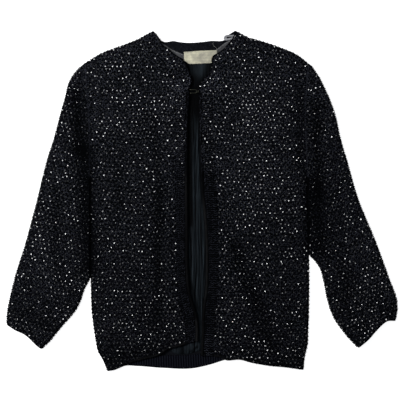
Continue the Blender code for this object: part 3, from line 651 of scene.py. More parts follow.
def satin_lining():
    """Dark slate satin: its streaks are painted sheen, and the tone it carries is painted shade and light.
    """
    made = Finish("satin_lining_cloth", (0.006, 0.008, 0.01), 0.6)
    streak = made.noise(30.0, 4.0, (16.0, 1.0, 1.0))
    weave = made.noise(2500.0, 1.0, (1.0, 0.15, 1.0))
    shade = made.spread(streak, 0.2, 0.6, 0.36, 0.66) * made.own()
    made.colour(shade, (0.0003, 0.0004, 0.0006), (0.0178, 0.0236, 0.0285))
    made.feed("Roughness", made.spread(streak, 0.5, 0.7))
    made.relief(streak * 0.9 + weave * 0.1, 0.0012)
    return made.material


def ribbed_inside():
    """The wrong side of the knit, with the loops of its rows across the ribs."""
    made = Finish("ribbed_inside_knit", (0.004, 0.0045, 0.0065), 0.9)
    loops = ((made.cloth()[1] * 4.0) * math.tau).do("COSINE") * 0.5 + 0.5
    fuzz = made.noise(700.0, 3.0)
    shade = (loops * 0.4 + fuzz * 0.8) * made.own()
    made.colour(shade, (0.0004, 0.0005, 0.0009), (0.0145, 0.016, 0.0245))
    made.relief(loops * 0.6 + fuzz * 0.4, 0.0006)
    return made.material


def woven(name, pale, dark, roughness, threads, specular):
    """Close weave whose threads pass over and under each other."""
    made = Finish(name, pale, roughness, specular=specular)
    warp, weft = [(way * (threads * math.tau)).do("SINE") for way in made.cloth()]
    weave = warp * weft * 0.5 + 0.5
    stain = made.noise(90.0, 4.0)
    shade = (made.spread(stain, 0.0, 1.0, 0.35, 0.7) * 0.7 + weave * 0.3) * made.own()
    made.colour(shade, dark, pale)
    made.feed("Roughness", made.spread(stain, roughness - 0.08, roughness + 0.08))
    made.relief(weave, 0.00012)
    return made.material


def dull_wire():
    made = Finish("dull_wire_metal", (0.16, 0.16, 0.13), 0.4, metallic=0.9, specular=0.5)
    paleness = made.noise(400.0, 3.0)
    made.colour(paleness, (0.022, 0.022, 0.016), (0.095, 0.095, 0.07))
    made.feed("Roughness", made.spread(paleness, 0.3, 0.55))
    return made.material


def sewing_thread():
    made = Finish("sewing_thread", (0.45, 0.43, 0.36), 0.6, specular=0.5, sheen=0.1)
    made.colour(made.noise(800.0), (0.2, 0.2, 0.18), (0.44, 0.43, 0.39))
    return made.material


def pale_floor():
    made = Finish("pale_floor", (0.5, 0.5, 0.5), 0.9, specular=0.1)
    made.colour(made.noise(3.0), (0.49, 0.49, 0.49), (0.51, 0.51, 0.51))
    made.shader.inputs["Emission Color"].default_value = (1.0, 1.0, 1.0, 1.0)
    made.shader.inputs["Emission Strength"].default_value = 0.92
    return made.material


finishes = {
    "beaded_knit": beaded_knit(),
    "wool": wool(),
    "sequins": sequin_black(),
    "plain_knit": plain_knit("plain_knit_cloth", (0.0125, 0.0136, 0.0175)),
    "band_knit": plain_knit("band_knit_cloth", (0.0012, 0.0014, 0.002)),
    "rolled_edge": rolled_knit(),
    "satin_lining": satin_lining(),
    "ribbed_knit": ribbed_inside(),
    "grey_tape": woven("grey_tape_weave", (0.1, 0.1, 0.106), (0.03, 0.03, 0.032), 0.6, 7.0, 0.15),
    "cream_label": woven("cream_label_weave", (0.72, 0.68, 0.49), (0.3, 0.285, 0.235), 0.7, 9.0, 0.15),
    "pale_satin": woven("pale_satin_weave", (0.66, 0.66, 0.68), (0.2, 0.2, 0.21), 0.4, 9.0, 0.4),
    "dull_wire": dull_wire(),
    "thread": sewing_thread(),
}


def cell(plan):
    """A plan in sequins across and along."""
    return plan / np.array(PITCH)


def quads(grid, closed=()):
    """Faces between neighbours in a grid of point numbers, which may be closed along an axis."""
    for axis in closed:
        grid = np.concatenate([grid, grid.take([0], axis)], axis)
    corners = [grid[:-1, :-1], grid[:-1, 1:], grid[1:, 1:], grid[1:, :-1]]
    return np.stack(corners, axis=-1).reshape(-1, 4).tolist()


def edge_ring(rows, columns):
    """Rows and columns of the places along the edge of a grid, once round."""
    ring = [(0, column) for column in range(columns)]
    ring += [(row, columns - 1) for row in range(1, rows)]
    ring += [(rows - 1, column) for column in range(columns - 2, -1, -1)]
    ring += [(row, 0) for row in range(rows - 2, 0, -1)]
    return tuple(np.array(ring).T)


def drawn_in(plan, distance):
    """The plan with its outermost points moved inwards."""
    rows, columns = plan.shape[:2]
    ring = edge_ring(rows, columns)
    reach = plan[np.clip(ring[0], 1, rows - 2), np.clip(ring[1], 1, columns - 2)] - plan[ring]
    moved = plan.copy()
    moved[ring] += reach * np.minimum(0.4, distance / np.linalg.norm(reach, axis=1))[:, None]
    return moved


def area_of(plan):
    one = plan[1:, 1:] - plan[:-1, :-1]
    two = plan[1:, :-1] - plan[:-1, 1:]
    return np.abs(one[..., 0] * two[..., 1] - one[..., 1] * two[..., 0]).sum() / 2


class Shape:
    """Points in the garment's millimetres, the faces between them and their places on the cloth."""

    def __init__(self, points, faces, uv=None):
        self.points = np.reshape(points, (-1, 3))
        self.faces = faces
        self.uv = uv


class Wall(Shape):
    """A cloth wall over a plan, between two heights, with a rounded rim."""

    def __init__(self, plan, low, high):
        rows, columns = plan.shape[:2]
        low, high = (np.broadcast_to(level, (rows, columns)) for level in (low, high))
        ring = edge_ring(rows, columns)
        surface = drawn_in(plan, RIM)
        layers = [raised(surface, high).reshape(-1, 3), raised(surface, low).reshape(-1, 3)]
        for angle in (math.pi / 4, 0.0, -math.pi / 4):
            pulled = drawn_in(plan, RIM * (1 - math.cos(angle)))
            middle = (low + high) / 2 + math.sin(angle) * (high - low) / 2
            layers.append(raised(pulled[ring], middle[ring]))
        top = np.arange(rows * columns).reshape(rows, columns)
        bottom = top + top.size
        rims = 2 * top.size + np.arange(3 * len(ring[0])).reshape(3, -1)
        faces = quads(top) + [quad[::-1] for quad in quads(bottom)]
        faces += quads(np.vstack([top[ring], rims, bottom[ring]]).T, (0,))
        uv = cell(plan)
        uv = np.concatenate([uv.reshape(-1, 2)] * 2 + [uv[ring]] * 3)
        super().__init__(np.concatenate(layers), faces, uv)
        self.area = area_of(plan)


class Tube(Shape):
    """Rings of points joined along a run, with an inner skin, open at both ends."""

    def __init__(self, outside, inside, uv):
        rings = np.concatenate([outside, inside[::-1]])
        numbers = np.arange(rings[..., 0].size).reshape(rings.shape[:2])
        super().__init__(rings, quads(numbers, (0, 1)), np.concatenate([uv, uv[::-1]]).reshape(-1, 2))


def add_piece(name, shape, slot, own=None, finish=None, smooth=True, turn_out=True):
    """A piece of the garment; its finish is called as its slot unless another is given."""
    # Unless told otherwise, a piece carries the wool's painted shade and light.
    own = wool_painted_shading(shape.points[:, :2]) if own is None else own
    mesh = bpy.data.meshes.new(name)
    mesh.from_pydata(((shape.points + shift) * MM).tolist(), [], shape.faces)
    if turn_out:
        shaped = bmesh.new()
        shaped.from_mesh(mesh)
        bmesh.ops.recalc_face_normals(shaped, faces=shaped.faces)
        shaped.to_mesh(mesh)
        shaped.free()
    if shape.uv is not None:
        layer = mesh.uv_layers.new(name="cloth")
        corner = np.empty(len(mesh.loops), dtype=np.int32)
        mesh.loops.foreach_get("vertex_index", corner)
        layer.data.foreach_set("uv", np.asarray(shape.uv, dtype=np.float32)[corner].ravel())
    tones = mesh.attributes.new("own", "FLOAT", "POINT")
    tones.data.foreach_set("value", np.asarray(own, dtype=np.float32))
    if smooth:
        mesh.shade_smooth()
    mesh.materials.append(finishes[finish or slot])
    made = bpy.data.objects.new(name, mesh)
    bpy.context.scene.collection.objects.link(made)
    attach(made, "root")
    return made


def dress(node, word, shape, slot, own=None):
    """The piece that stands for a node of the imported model, named after it."""
    piece = add_piece(f"{node}_{word}", shape, slot, own)
    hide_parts(node)
    return piece


def declare(piece, area=None):
    """Works out in square metres the area that a piece of cloth was cut to; the result is not used."""
    area = None if area is None else area * MM * MM


def upper_layer(plan):
    """Underside and top of the layer that lies on the back."""
    nearest = np.min([distance_to(edge, plan) for edge in closed_edges], axis=0)
    curl = ease(nearest / ROLL)
    low = LOW_LINING + (UPPER - LOW_LINING) * curl + (folds(FOLDS, plan) + ripple(plan)) * curl
    low = np.maximum(low, LOW_LINING)
    return low, low + WALL


def towards_glint(spots):
    """Which way a sequin on each spot faces when it throws the light at the camera."""
    return unit(sum(unit(np.array(place) - (spots + shift) * MM) for place in (KEY_FROM, CAMERA_AT)))


def shine(spots):
    """How lively the sequins at each spot are: in small slanting patches and from place to place."""
    x, y = spots[:, 0], spots[:, 1]
    lively = np.full(len(spots), SHINE_BASE)
    for middle_x, middle_y, reach_x, reach_y, added in SHINE:
        off = ((x - middle_x) / reach_x) ** 2 + ((y - middle_y) / reach_y) ** 2
        lively += SHINE_BASE * added * np.exp(-off)
    rising = np.sin(y * 0.31 + x * 0.24 + 1.8 * np.sin(x / 53.0))
    falling = np.sin(y * 0.36 - x * 0.19 + 2.0 * np.sin(y / 47.0) + 1.0)
    return lively * np.exp(0.36 * (rising + falling)) * np.minimum(painted_shading(SHADES, spots[:, :2]), 1.4) ** 0.6


def sew_copies(name, template, shape, spots, ways, sizes, own, slot, finish, smooth):
    """One mesh of copies of a small shape, one on each spot and turned to its own three ways."""
    local = template * sizes[:, None]
    points = spots[:, None]
    for axis, way in enumerate(ways):
        points = points + local[..., axis, None] * way[:, None]
    faces = [
        [index * len(template) + corner for corner in face] for index in range(len(spots)) for face in shape
    ]
    own = np.repeat(own, len(template))
    return add_piece(name, Shape(points, faces), slot, own, finish, smooth, turn_out=False)


def sew_sequins(node, spots, normals, seed):
    """One mesh of faceted sequins, each held by a seed bead, on the given spots."""
    chance = np.random.default_rng(seed)
    count = len(spots)
    facing = normals + raised(chance.normal(0.0, LEAN, (count, 2)), 0.0)
    spots = spots - normals * SUNK * hollow_at(spots)[:, None]
    dull = chance.random(count) / shine(spots)
    level = normals[:, 2] > LEVEL
    turned = (dull < TURNED_SHARE) & level
    facing[turned] = towards_glint(spots[turned]) + chance.normal(0.0, TURNED_LEAN, (turned.sum(), 3))
    facing = unit(facing)
    angle = chance.uniform(0.0, math.tau, count)
    first = unit(np.cross(facing, raised(np.stack([np.cos(angle), np.sin(angle)], axis=-1), 0.1)))
    turns = np.arange(SEQUIN_SIDES) * math.tau / SEQUIN_SIDES
    template = [
        (radius * math.cos(turn), radius * math.sin(turn), height)
        for radius, height in SEQUIN_RINGS
        for turn in turns
    ]
    rings = np.arange(len(template)).reshape(-1, SEQUIN_SIDES)
    rim = rings[-1].tolist()
    bead = [(side, following, len(template)) for side, following in zip(rim, rim[1:] + rim[:1])]
    template.append((0.0, 0.0, SEED_BEAD_TOP))
    sizes = chance.uniform(0.93, 1.05, (count, 1))
    rough = np.where(level, chance.uniform(0.15, 0.6, count) + 0.35 * hollow_at(spots), 0.7)
    return sew_copies(
        f"{node}_sequins", np.array(template), quads(rings, (1,)) + bead, spots,
        (first, np.cross(facing, first), facing), sizes,
        np.where(turned, SHEEN[0] + SHEEN[1] * dull, rough), "beaded_knit", "sequins", False,
    )


def add_stitches(node, spots, normals, slants, seed, slot, strength=1.0):
    """One mesh of puffed legs of wool on the given spots, each at its slant from the upright."""
    chance = np.random.default_rng(seed)
    count = len(spots)
    slants = slants + chance.normal(0.0, 0.24, count)
    run = raised(np.stack([np.sin(slants), np.cos(slants)], axis=-1), 0.0)
    run = unit(run - (run * normals).sum(axis=1, keepdims=True) * normals)
    sizes = chance.uniform((0.75, 0.75, 0.7), (1.2, 1.2, 1.4), (count, 3))
    # A random tone for each stitch, times the wool's painted shade and light.
    own = (0.09 + 0.52 * chance.random(count)) * strength * wool_painted_shading(spots[:, :2])
    return sew_copies(
        f"{node}_stitches", np.array(STITCH_POINTS), STITCH_FACES, spots,
        (np.cross(run, normals), run, normals), sizes, own, slot, "wool", True,
    )


def gather(*groups):
    return tuple(np.concatenate(parts) for parts in zip(*groups))


def surface_spots(shape, plan):
    """Where points of a plan meet the top of a piece, and which way it faces there."""
    tree = BVHTree.FromPolygons(shape.points.tolist(), shape.faces)
    spots, normals = [], []
    for x, y in plan:
        place, normal, _, _ = tree.ray_cast(Vector((x, y, 60.0)), Vector((0.0, 0.0, -1.0)))
        if place is not None and abs(normal.z) > 0.3:
            spots.append(place)
            normals.append(normal if normal.z > 0 else -normal)
    return np.array(spots).reshape(-1, 3), np.array(normals).reshape(-1, 3)


def hand_sewn(places, seed, amount=0.85):
    """The places with the wander of the rows and the small misses of hand sewing."""
    x, y = places[:, 0], places[:, 1]
    wander_x = 1.6 * np.sin(y / 37.0 + 0.6 * np.sin(x / 50.0)) + 0.8 * np.sin(y / 13.0 + x / 60.0)
    wander_y = 2.4 * np.sin(x / 43.0 + 0.8) + 1.1 * np.sin(x / 17.0 + y / 70.0)
    wander_y = wander_y + 0.9 * np.sin(x / 4.3 + y / 50.0)
    missed = np.random.default_rng(seed).normal(0.0, amount, places.shape)
    return places + np.stack([wander_x, wander_y], axis=-1) + missed


def stitched(shape, rows, seed, turn=0.0):
    """Spots, directions and slants of a piece's stitches, which lean both ways as a diagonal mesh."""
    groups = []
    for offset, slant in ((0.25, STITCH_SLANT), (0.75, -STITCH_SLANT)):
        places = hand_sewn(rows(pitch=(PITCH[0], PITCH[1] / 2), offset=offset), seed, 0.6)
        spots, normals = surface_spots(shape, places)
        groups.append((spots, normals, np.full(len(spots), slant + turn)))
    return gather(*groups)


def body_rows(x_from, x_to, y_from, y_to, pitch=PITCH, offset=0.5):
    """Rows of places over a rectangle of the body, every other row staggered."""
    row = np.arange(math.floor(y_from / pitch[1]), math.ceil(y_to / pitch[1]))[:, None]
    column = np.arange(math.floor(x_from / pitch[0]) - 1, math.ceil(x_to / pitch[0]) + 1)
    x = (column + (offset - 0.5 * (row % 2))) * pitch[0]
    return np.stack(np.broadcast_arrays(x, (row + 0.5) * pitch[1]), axis=-1).reshape(-1, 2)


def half_rows(hand, reach, low, high):
    """Rows over one half of the body, from its middle as far as the reach."""
    return functools.partial(body_rows, *sorted((0.0, hand * reach)), low, high)


def sleeve_rows(line, reach, pitch=PITCH, offset=0.5):
    """Rows of places square to the sleeve's line, every other row staggered."""
    length = length_of(line)
    row = np.arange(int(length / pitch[1]))
    share = (row + 0.5) * pitch[1] / length
    square = -left_of(heading(line, share, 0.01))
    column = np.arange(-int(reach / pitch[0]), int(reach / pitch[0]))
    steps = column + (offset - 0.5 * (row % 2))[:, None]
    return (along(line, share)[:, None] + square[:, None] * steps[..., None] * pitch[0]).reshape(-1, 2)


def clear_of(group, edges, distance):
    """The spots of a group that lie at least so far from the edges."""
    keep = np.ones(len(group[0]), dtype=bool)
    for edge in edges:
        keep &= distance_to(edge, group[0][:, :2]) >= distance
    return tuple(part[keep] for part in group)


def sequin_spots(shape, rows, seed, edges):
    return clear_of(surface_spots(shape, hand_sewn(rows(), seed)), edges, EDGE_REACH)


def fold_row(path, side, height=2.9, lift=0.1, start=0.0):
    """Sequins in a row along a folded edge, facing outwards."""
    count = int(length_of(path) / PITCH[1])
    fractions = (np.arange(count) + 0.5 + start) / (count + 0.5)
    fractions = fractions[fractions < 1.0]
    out = left_of(heading(path, fractions, 0.002)) * side
    return raised(along(path, fractions), height), raised(out * math.cos(lift), math.sin(lift))


def make_back():
    left, right = (join(*paths_of(name, "side", "armhole")) for name in HALVES)
    shoulders = [paths[name]["shoulder"] for name in HALVES]
    top = join(shoulders[0], beside(back_neck_seam, -SEAM / 2), shoulders[1][::-1])
    plan = patch(smooth_run(HEM_BACK), top, left, right, stations(90, 0.3), stations(70, 0.3))
    shape = Wall(plan, 0.0, WALL)
    declare(dress("back", "cloth", shape, "plain_knit"), area=shape.area)


def make_fronts():
    for name, hand, seed in halves(10):
        node = f"front_{name}"
        hem, side, armhole, shoulder = paths_of(name, "hem", "side", "armhole", "shoulder")
        seams = paths_of(name, "band_seam", "neck_seam")
        inner = join(*[beside(seam, -hand * SEAM / 2) for seam in seams])
        ends = (join(side, armhole), inner)[::-hand]
        plan = patch(hem, shoulder[::-hand], *ends, stations(120, 0.25), stations(44, 0.45))
        shape = Wall(plan, *upper_layer(plan))
        front = dress(node, "cloth", shape, "beaded_knit")
        rows = half_rows(hand, 200.0, 0.0, 570.0)
        spots = clear_of(sequin_spots(shape, rows, seed, [hem, side, shoulder]), [armhole], 1.4)
        edge = fold_row(side[side[:, 1] < FREE_SIDE[name]], -hand)
        sequins = sew_sequins(node, *gather(spots, edge, fold_row(shoulder, -hand)), seed)
        legs = clear_of(stitched(shape, rows, seed), [hem], STITCH_REACH)
        stitches = add_stitches(node, *legs, seed, "beaded_knit")
        hem_roll = make_hem_roll(name, hem)
        declare(front, shape.area)


def sleeve_ring(section, radius, wall_radius, top_count=46, floor_count=20, turn=6):
    """One ring of a flattened tube, round a section from its outer to its inner fold."""
    width = length_of(section)
    flat = np.linspace(radius, width - radius, top_count)
    floor = np.linspace(width - radius, radius, floor_count)
    turns = np.linspace(0.0, math.pi, turn + 2)[1:-1]
    out, up = wall_radius * np.sin(turns), wall_radius * np.cos(turns)
    top, under = np.full(top_count, radius + wall_radius), np.full(floor_count, radius - wall_radius)
    height = np.concatenate([top, radius + up, under, radius - up])
    place = along(section, np.concatenate([flat, width - radius + out, floor, radius - out]) / width)
    fade = ease(np.minimum(flat - radius, width - radius - flat) / ROLL)
    height[:top_count] += (folds(FOLDS, place[:top_count]) + ripple(place[:top_count])) * fade
    return raised(place, height)


def to_and_fro(count):
    """Slants of a row of stitches that lean both ways in turn."""
    return np.where(np.arange(count) % 2, STITCH_SLANT, -STITCH_SLANT)


def fringe(path):
    """Stitches in three close rows along an edge that lies against its neighbour."""
    count = int(length_of(path) / SEAM_STITCH_PITCH)
    groups = []
    for start, height in ((0.1, 4.9), (0.4, 4.2), (0.7, 3.4)):
        spots = raised(along(path, (np.arange(count) + start) / count), height)
        groups.append((spots, np.tile((0.0, 0.0, 1.0), (count, 1)), to_and_fro(count)))
    return gather(*groups)


def unroll(line, places):
    """Places measured across and along a line."""
    best = np.full(places.shape[:-1], np.inf)
    found = np.zeros(places.shape)
    passed = 0.0
    for start, end in zip(line, line[1:]):
        share, off = near(start, end, places)
        size = np.linalg.norm(end - start)
        side = np.sign(((places - start) * left_of(end - start)).sum(axis=-1))
        measured = np.stack([-side * off, passed + share * size], axis=-1)
        found = np.where((off < best)[..., None], measured, found)
        best = np.minimum(best, off)
        passed += size
    return found


def make_sleeves():
    clearance = 1.5 * SEAM
    radius = (UPPER + WALL) / 2
    for name, hand, seed in halves(20):
        node = f"sleeve_{name}"
        armhole, beside_body = paths_of(name, "armhole", "sleeve_beside")
        inner, cuff = paths_of(name, "sleeve_inner", "cuff")
        opening = beside(armhole, -hand * clearance)[::-1]
        outer = HALVES[name]["sleeve_outer"][1:]
        outer_fold = join(straight(opening[0], outer[0]), smooth_run(outer))
        inner_fold = join(smooth_run([opening[-1], *HALVES[name]["sleeve_beside"][1:]]), inner)
        across = np.linspace(0.0, 1.0, 41)
        sections = patch(opening, cuff, outer_fold, inner_fold, stations(100, 0.2), across)
        outside, inside = (
            np.array([sleeve_ring(section, radius, skin) for section in sections])
            for skin in (radius, radius - WALL)
        )
        line = smooth_run(HALVES[name]["sleeve_line"], 8.0)
        shape = Tube(outside, inside, cell(unroll(line, outside[..., :2])))
        sleeve = dress(node, "cloth", shape, "beaded_knit")
        rows = functools.partial(sleeve_rows, line, 130.0)
        spots = sequin_spots(shape, rows, seed, [outer_fold, inner_fold, cuff])
        groups = [clear_of(spots, [armhole], 2.2)]
        for height, lift, start in ((5.6, 0.45, 0.0), (2.9, -0.3, 0.5)):
            groups.append(fold_row(outer_fold[2:], hand, height, lift, start))
            groups.append(fold_row(inner, -hand, height, lift, start))
        sequins = sew_sequins(node, *gather(*groups), seed)
        legs = clear_of(stitched(shape, rows, seed, -0.26 * hand), [cuff], STITCH_REACH)
        seam = beside(armhole, -2 * hand * clearance)
        seam_stitches = int(length_of(seam) / SEAM_STITCH_PITCH)
        spots, normals = surface_spots(shape, part_of(seam, 0.0, 1.0, seam_stitches))
        legs = gather(legs, fringe(beside_body), (spots, normals, to_and_fro(len(spots))))
        stitches = add_stitches(node, *legs, seed, "beaded_knit")
        declare(sleeve, 2 * area_of(sections))


def make_neckbands():
    for name, hand, seed in halves(30):
        node = f"neckband_{name}"
        seam, neckline, fold = paths_of(name, "neck_seam", "neckline", "neck_fold")
        seam = beside(seam, hand * SEAM / 2)
        plan = strip(seam, neckline, np.linspace(0.0, 1.0, 40), stations(10, 0.4))
        shape = Wall(plan, *upper_layer(plan))
        band = dress(node, "cloth", shape, "beaded_knit")
        rows = half_rows(hand, 110.0, 460.0, 585.0)
        spots = sequin_spots(shape, rows, seed, [neckline, fold])
        sequins = sew_sequins(node, *gather(spots, fold_row(fold, -hand)), seed)
        legs = clear_of(stitched(shape, rows, seed), [neckline], STITCH_REACH)
        stitches = add_stitches(node, *legs, seed, "beaded_knit")
        declare(band, shape.area)
    seam = beside(back_neck_seam, SEAM / 2)
    plan = strip(seam, back_neck_top, np.linspace(0.0, 1.0, 50), stations(8, 0.3))
    shape = Wall(plan, 0.0, WALL)
    band = dress("neckband_back", "cloth", shape, "plain_knit")
    rows = functools.partial(body_rows, -100.0, 100.0, 535.0, 585.0)
    legs = clear_of(stitched(shape, rows, 33), [back_neck_seam, back_neck_top], 1.2)
    stitches = add_stitches("neckband_back", *legs, 33, "plain_knit", 0.5)
    declare(band, shape.area)


def band_places(outer, inner, first, seed):
    """Places of every other column of stitches along a front band."""
    rows = int(length_of(outer) / BAND_STITCH_PITCH)
    shares = (np.arange(rows) + 0.5) / rows
    start, end = along(outer, shares), along(inner, shares)
    columns = (np.arange(first, BAND_COLUMNS, 2) + 0.5) / BAND_COLUMNS
    places = (start[:, None] + (end - start)[:, None] * columns[None, :, None]).reshape(-1, 2)
    return places + np.random.default_rng(seed).normal(0.0, 0.25, places.shape)


def make_edge_bands():
    foot = PLAIN_BAND_TOP - 20.0
    for name, hand, seed in halves(40):
        node = f"edge_band_{name}"
        seam, opening = paths_of(name, "band_seam", "opening")
        outer = beside(seam, hand * SEAM / 2)
        inner = beside(opening, -hand * (BINDING[0] + 2 * SEAM))
        plan = strip(outer, inner, np.linspace(0.0, 1.0, 110) * BAND_END, stations(8, 0.3))
        shape = Wall(plan, *upper_layer(plan))
        band = dress(node, "cloth", shape, "band_knit")
        places = hand_sewn(half_rows(hand, BAND_REACH[name], foot, 470.0)(), seed, 0.3)
        fewer = np.random.default_rng(seed).random(len(places))
        places = places[places[:, 1] > foot + 60.0 * fewer]
        spots = clear_of(surface_spots(shape, places), [opening], BINDING[0])
        sequins = sew_sequins(node, *spots, seed)
        groups = []
        for first, way in ((0, 1), (1, -1)):
            spots, normals = surface_spots(shape, band_places(outer, inner, first, seed))
            upper = np.clip((spots[:, 1] - PLAIN_BAND_TOP) / 30.0, 0.0, 1.0)
            lean = way * BAND_SLANT[name]
            groups.append((spots, normals, lean + upper * (way * STITCH_SLANT - lean)))
        spots, normals, slants = gather(*groups)
        strength = 0.72 + 0.28 * np.clip((spots[:, 1] - PLAIN_BAND_TOP + 20.0) / 60.0, 0.0, 1.0)
        stitches = add_stitches(node, spots, normals, slants, seed, "band_knit", strength)
        declare(band, shape.area)


def rolled_tube(middle, half_width, half_height, thickness, level, around=16):
    """A hollow roll of cloth along a path, a little uneven, at one level or at a level for each place."""
    level = np.broadcast_to(level, len(middle))[:, None]
    turns = np.linspace(0.0, math.tau, around + 1)[:-1]
    square = left_of(np.gradient(middle, axis=0))
    passed = np.linspace(0.0, length_of(middle), len(middle))[:, None]
    uneven = 1 + 0.05 * np.sin(passed / 7.3) + 0.04 * np.sin(passed / 3.1 + 1.0)
    skins = []
    for inset in (0.0, thickness):
        reach = np.cos(turns) * (half_width * np.minimum(uneven, 1.0) - inset)
        height = level + np.sin(turns) * (half_height * uneven - inset)
        skins.append(raised(middle[:, None] + reach[..., None] * square[:, None], height))
    uv = np.stack(np.broadcast_arrays(turns / math.tau * 1.8, passed / PITCH[1]), axis=-1)
    return Tube(*skins, uv)


def make_bindings():
    width, height, thickness = BINDING
    for name, hand, seed in halves(50):
        node = f"binding_{name}"
        low, full = STITCHED_FROM[name]
        middle = part_of(beside(paths[name]["opening"], -hand * width / 2), 0.0, BAND_END, 170)
        shape = rolled_tube(middle, width / 2, height / 2, thickness, UPPER + height / 2)
        # Paler in places along the height; the left one's dark stretch near the neck is painted shade.
        paleness = np.interp(shape.points[:, 1], *np.array(BINDING_TONES[name]).T)
        binding = dress(node, "roll", shape, "rolled_edge", paleness)
        rows = functools.partial(body_rows, -20.0, 20.0, low, 470.0)
        spots, normals, slants = stitched(shape, rows, seed)
        strength = 1.5 * np.clip((spots[:, 1] - low) / (full - low), 0.2, 1.0)
        stitches = add_stitches(node, spots, normals, slants, seed, "rolled_edge", strength)
        declare(binding, None)


def make_hem_roll(name, hem):
    """The narrow turned edge along the hem of a front."""
    middle = beside(part_of(hem, *HEM_TURN[name], 70), 1.5)
    shape = rolled_tube(middle, 1.5, 1.3, 0.6, UPPER + WALL - 0.2, 12)
    return add_piece(f"hem_{name}_roll", shape, "rolled_edge", np.full(len(shape.points), 0.35))


def make_lining():
    top = beside(back_neck_seam, -(TAPE_WIDTH + 4 * SEAM))
    top = top[(top[:, 0] > LINING_TOP[0]) & (top[:, 0] < LINING_TOP[1])]
    across = np.concatenate([[0.0, 0.08, 0.16, 0.24], np.linspace(0.28, 0.7, 70), [0.78, 0.86, 0.93, 1.0]])
    plan = panel(smooth_run(LINING_HEM), top, stations(110, 0.2), across)
    x, y = plan[..., 0], plan[..., 1]
    gathers = 1 + np.sin(x / 1.05 + 2.2 * np.sin(y / 37.0))
    middle = np.sin(np.clip((y - 60.0) / 380.0, 0, 1) * math.pi)
    creases = folds(LINING_FOLDS, plan) + 0.16 * gathers * middle
    shape = Wall(plan, LOW_LINING + creases * 0.9, LOW_LINING + LINING + creases)
    places = shape.points[:, :2]
    own = 1.0
    # Painted shadow beside the right opening's edge, and painted shade under both necklines.
    for shaded, depth, reach in (
        (paths["right"]["opening"], 0.8, 1.8),
        (join(paths["left"]["neckline"], back_neck_top), 0.75, 6.0),
        (paths["right"]["neckline"], 0.7, 5.0),
    ):
        own = own * (1 - depth * np.exp(-(distance_to(shaded, places) / reach) ** 2))
    x, y = places[:, 0], places[:, 1]
    # Painted shade and sheen along the satin's fine creases, fading out towards the neck, then the satin's
    # painted light and shade.
    crease = np.sin(x / 0.72 + 1.8 * np.sin(y / 41.0) + 0.9 * np.sin(y / 17.0))
    crease = crease + 0.8 * np.sin(x / 1.31 + 1.4 * np.sin(y / 63.0 + 1.0))
    crease = crease * (0.6 + 0.4 * np.sin(y / 19.0 + x / 3.0)) * np.clip((450.0 - y) / 40.0, 0.0, 1.0)
    own = own * (painted_shading(LINING_SHADES, places) * np.clip(1.0 + 0.9 * crease, 0.12, 2.4))
    lining = dress("back_lining", "cloth", shape, "satin_lining", own)
    declare(lining, shape.area)


def make_hem_facing():
    hem = beside(smooth_run(HEM_BACK[3:11]), SEAM)
    steps = RIB_STEPS * int(length_of(hem) / RIB_PITCH) + 1
    plan = panel(hem, smooth_run(FACING_TOP), stations(12, 0.3), np.linspace(0.0, 1.0, steps))
    rise = RIB_RISE * np.abs(np.sin(math.pi * np.arange(steps) / RIB_STEPS)) ** 0.8
    shape = Wall(plan, LOW_LINING, LOW_LINING + LINING + rise)
    # Painted shade in the valleys between the ribs.
    ribbed = np.clip((shape.points[:, 2] - LOW_LINING - LINING) / RIB_RISE, 0.06, 1.0) ** 2
    facing = dress("hem_facing", "cloth", shape, "ribbed_knit", ribbed)
    declare(facing, shape.area)


def thread_run(points, radius=THREAD, around=5):
    """Points and faces of a thin round thread along a route."""
    ahead = unit(np.gradient(points, axis=0))
    first = unit(np.cross(ahead, np.array([0.3, 0.2, 1.0])))
    second = np.cross(ahead, first)
    turns = (np.arange(around) * math.tau / around)[:, None]
    rings = (
        points[:, None]
        + radius * np.cos(turns) * first[:, None]
        + radius * np.sin(turns) * second[:, None]
    )
    numbers = np.arange(len(points) * around).reshape(-1, around)
    return rings.reshape(-1, 3), [*quads(numbers, (1,)), numbers[0].tolist(), numbers[-1].tolist()]


def add_threads(name, runs, slot):
    points, faces, first = [], [], 0
    for run in runs:
        more, shape = thread_run(run)
        points.append(more)
        faces += [[first + corner for corner in face] for face in shape]
        first += len(more)
    return add_piece(name, Shape(np.concatenate(points), faces), slot, finish="thread")


def running_stitches(path, height, pitch=4.2, length=2.4):
    """Short stitches that arch over the cloth along a path."""
    total = length_of(path)
    runs = []
    for index in range(int(total / pitch)):
        start = (index + 0.2) * pitch
        flat = part_of(path, start / total, (start + length) / total, 5)
        runs.append(raised(flat, height + np.array([-0.1, 0.12, 0.2, 0.12, -0.1])))
    return runs


def make_neck_tape():
    lower, upper = (part_of(beside(back_neck_seam, off), 0.12, 0.88) for off in (-TAPE_WIDTH, SEAM))
    plan = strip(lower, upper, stations(70, 0.1), stations(8, 0.2))
    top = LOW_LINING + LINING
    shape = Wall(plan, LOW_LINING, top)
    edge = np.min([distance_to(path, shape.points[:, :2]) for path in (lower, upper)], axis=0)
    tape = dress("neck_tape", "weave", shape, "grey_tape", 0.6 + 1.2 * np.exp(-((edge / 2.2) ** 2)))
    runs = []
    for share in (0.12, 0.88):
        runs += running_stitches(lower + (upper - lower) * share, top + 0.05)
    sewing = add_threads("neck_tape_stitches", runs, "grey_tape")
    declare(tape, None)


def turned_label(across, up):
    """Places on the label, turned as it is sewn."""
    x = across * math.cos(LABEL_TILT) - up * math.sin(LABEL_TILT) + LABEL_PLACE[0]
    y = across * math.sin(LABEL_TILT) + up * math.cos(LABEL_TILT) + LABEL_PLACE[1]
    return np.stack([x, y], axis=-1)


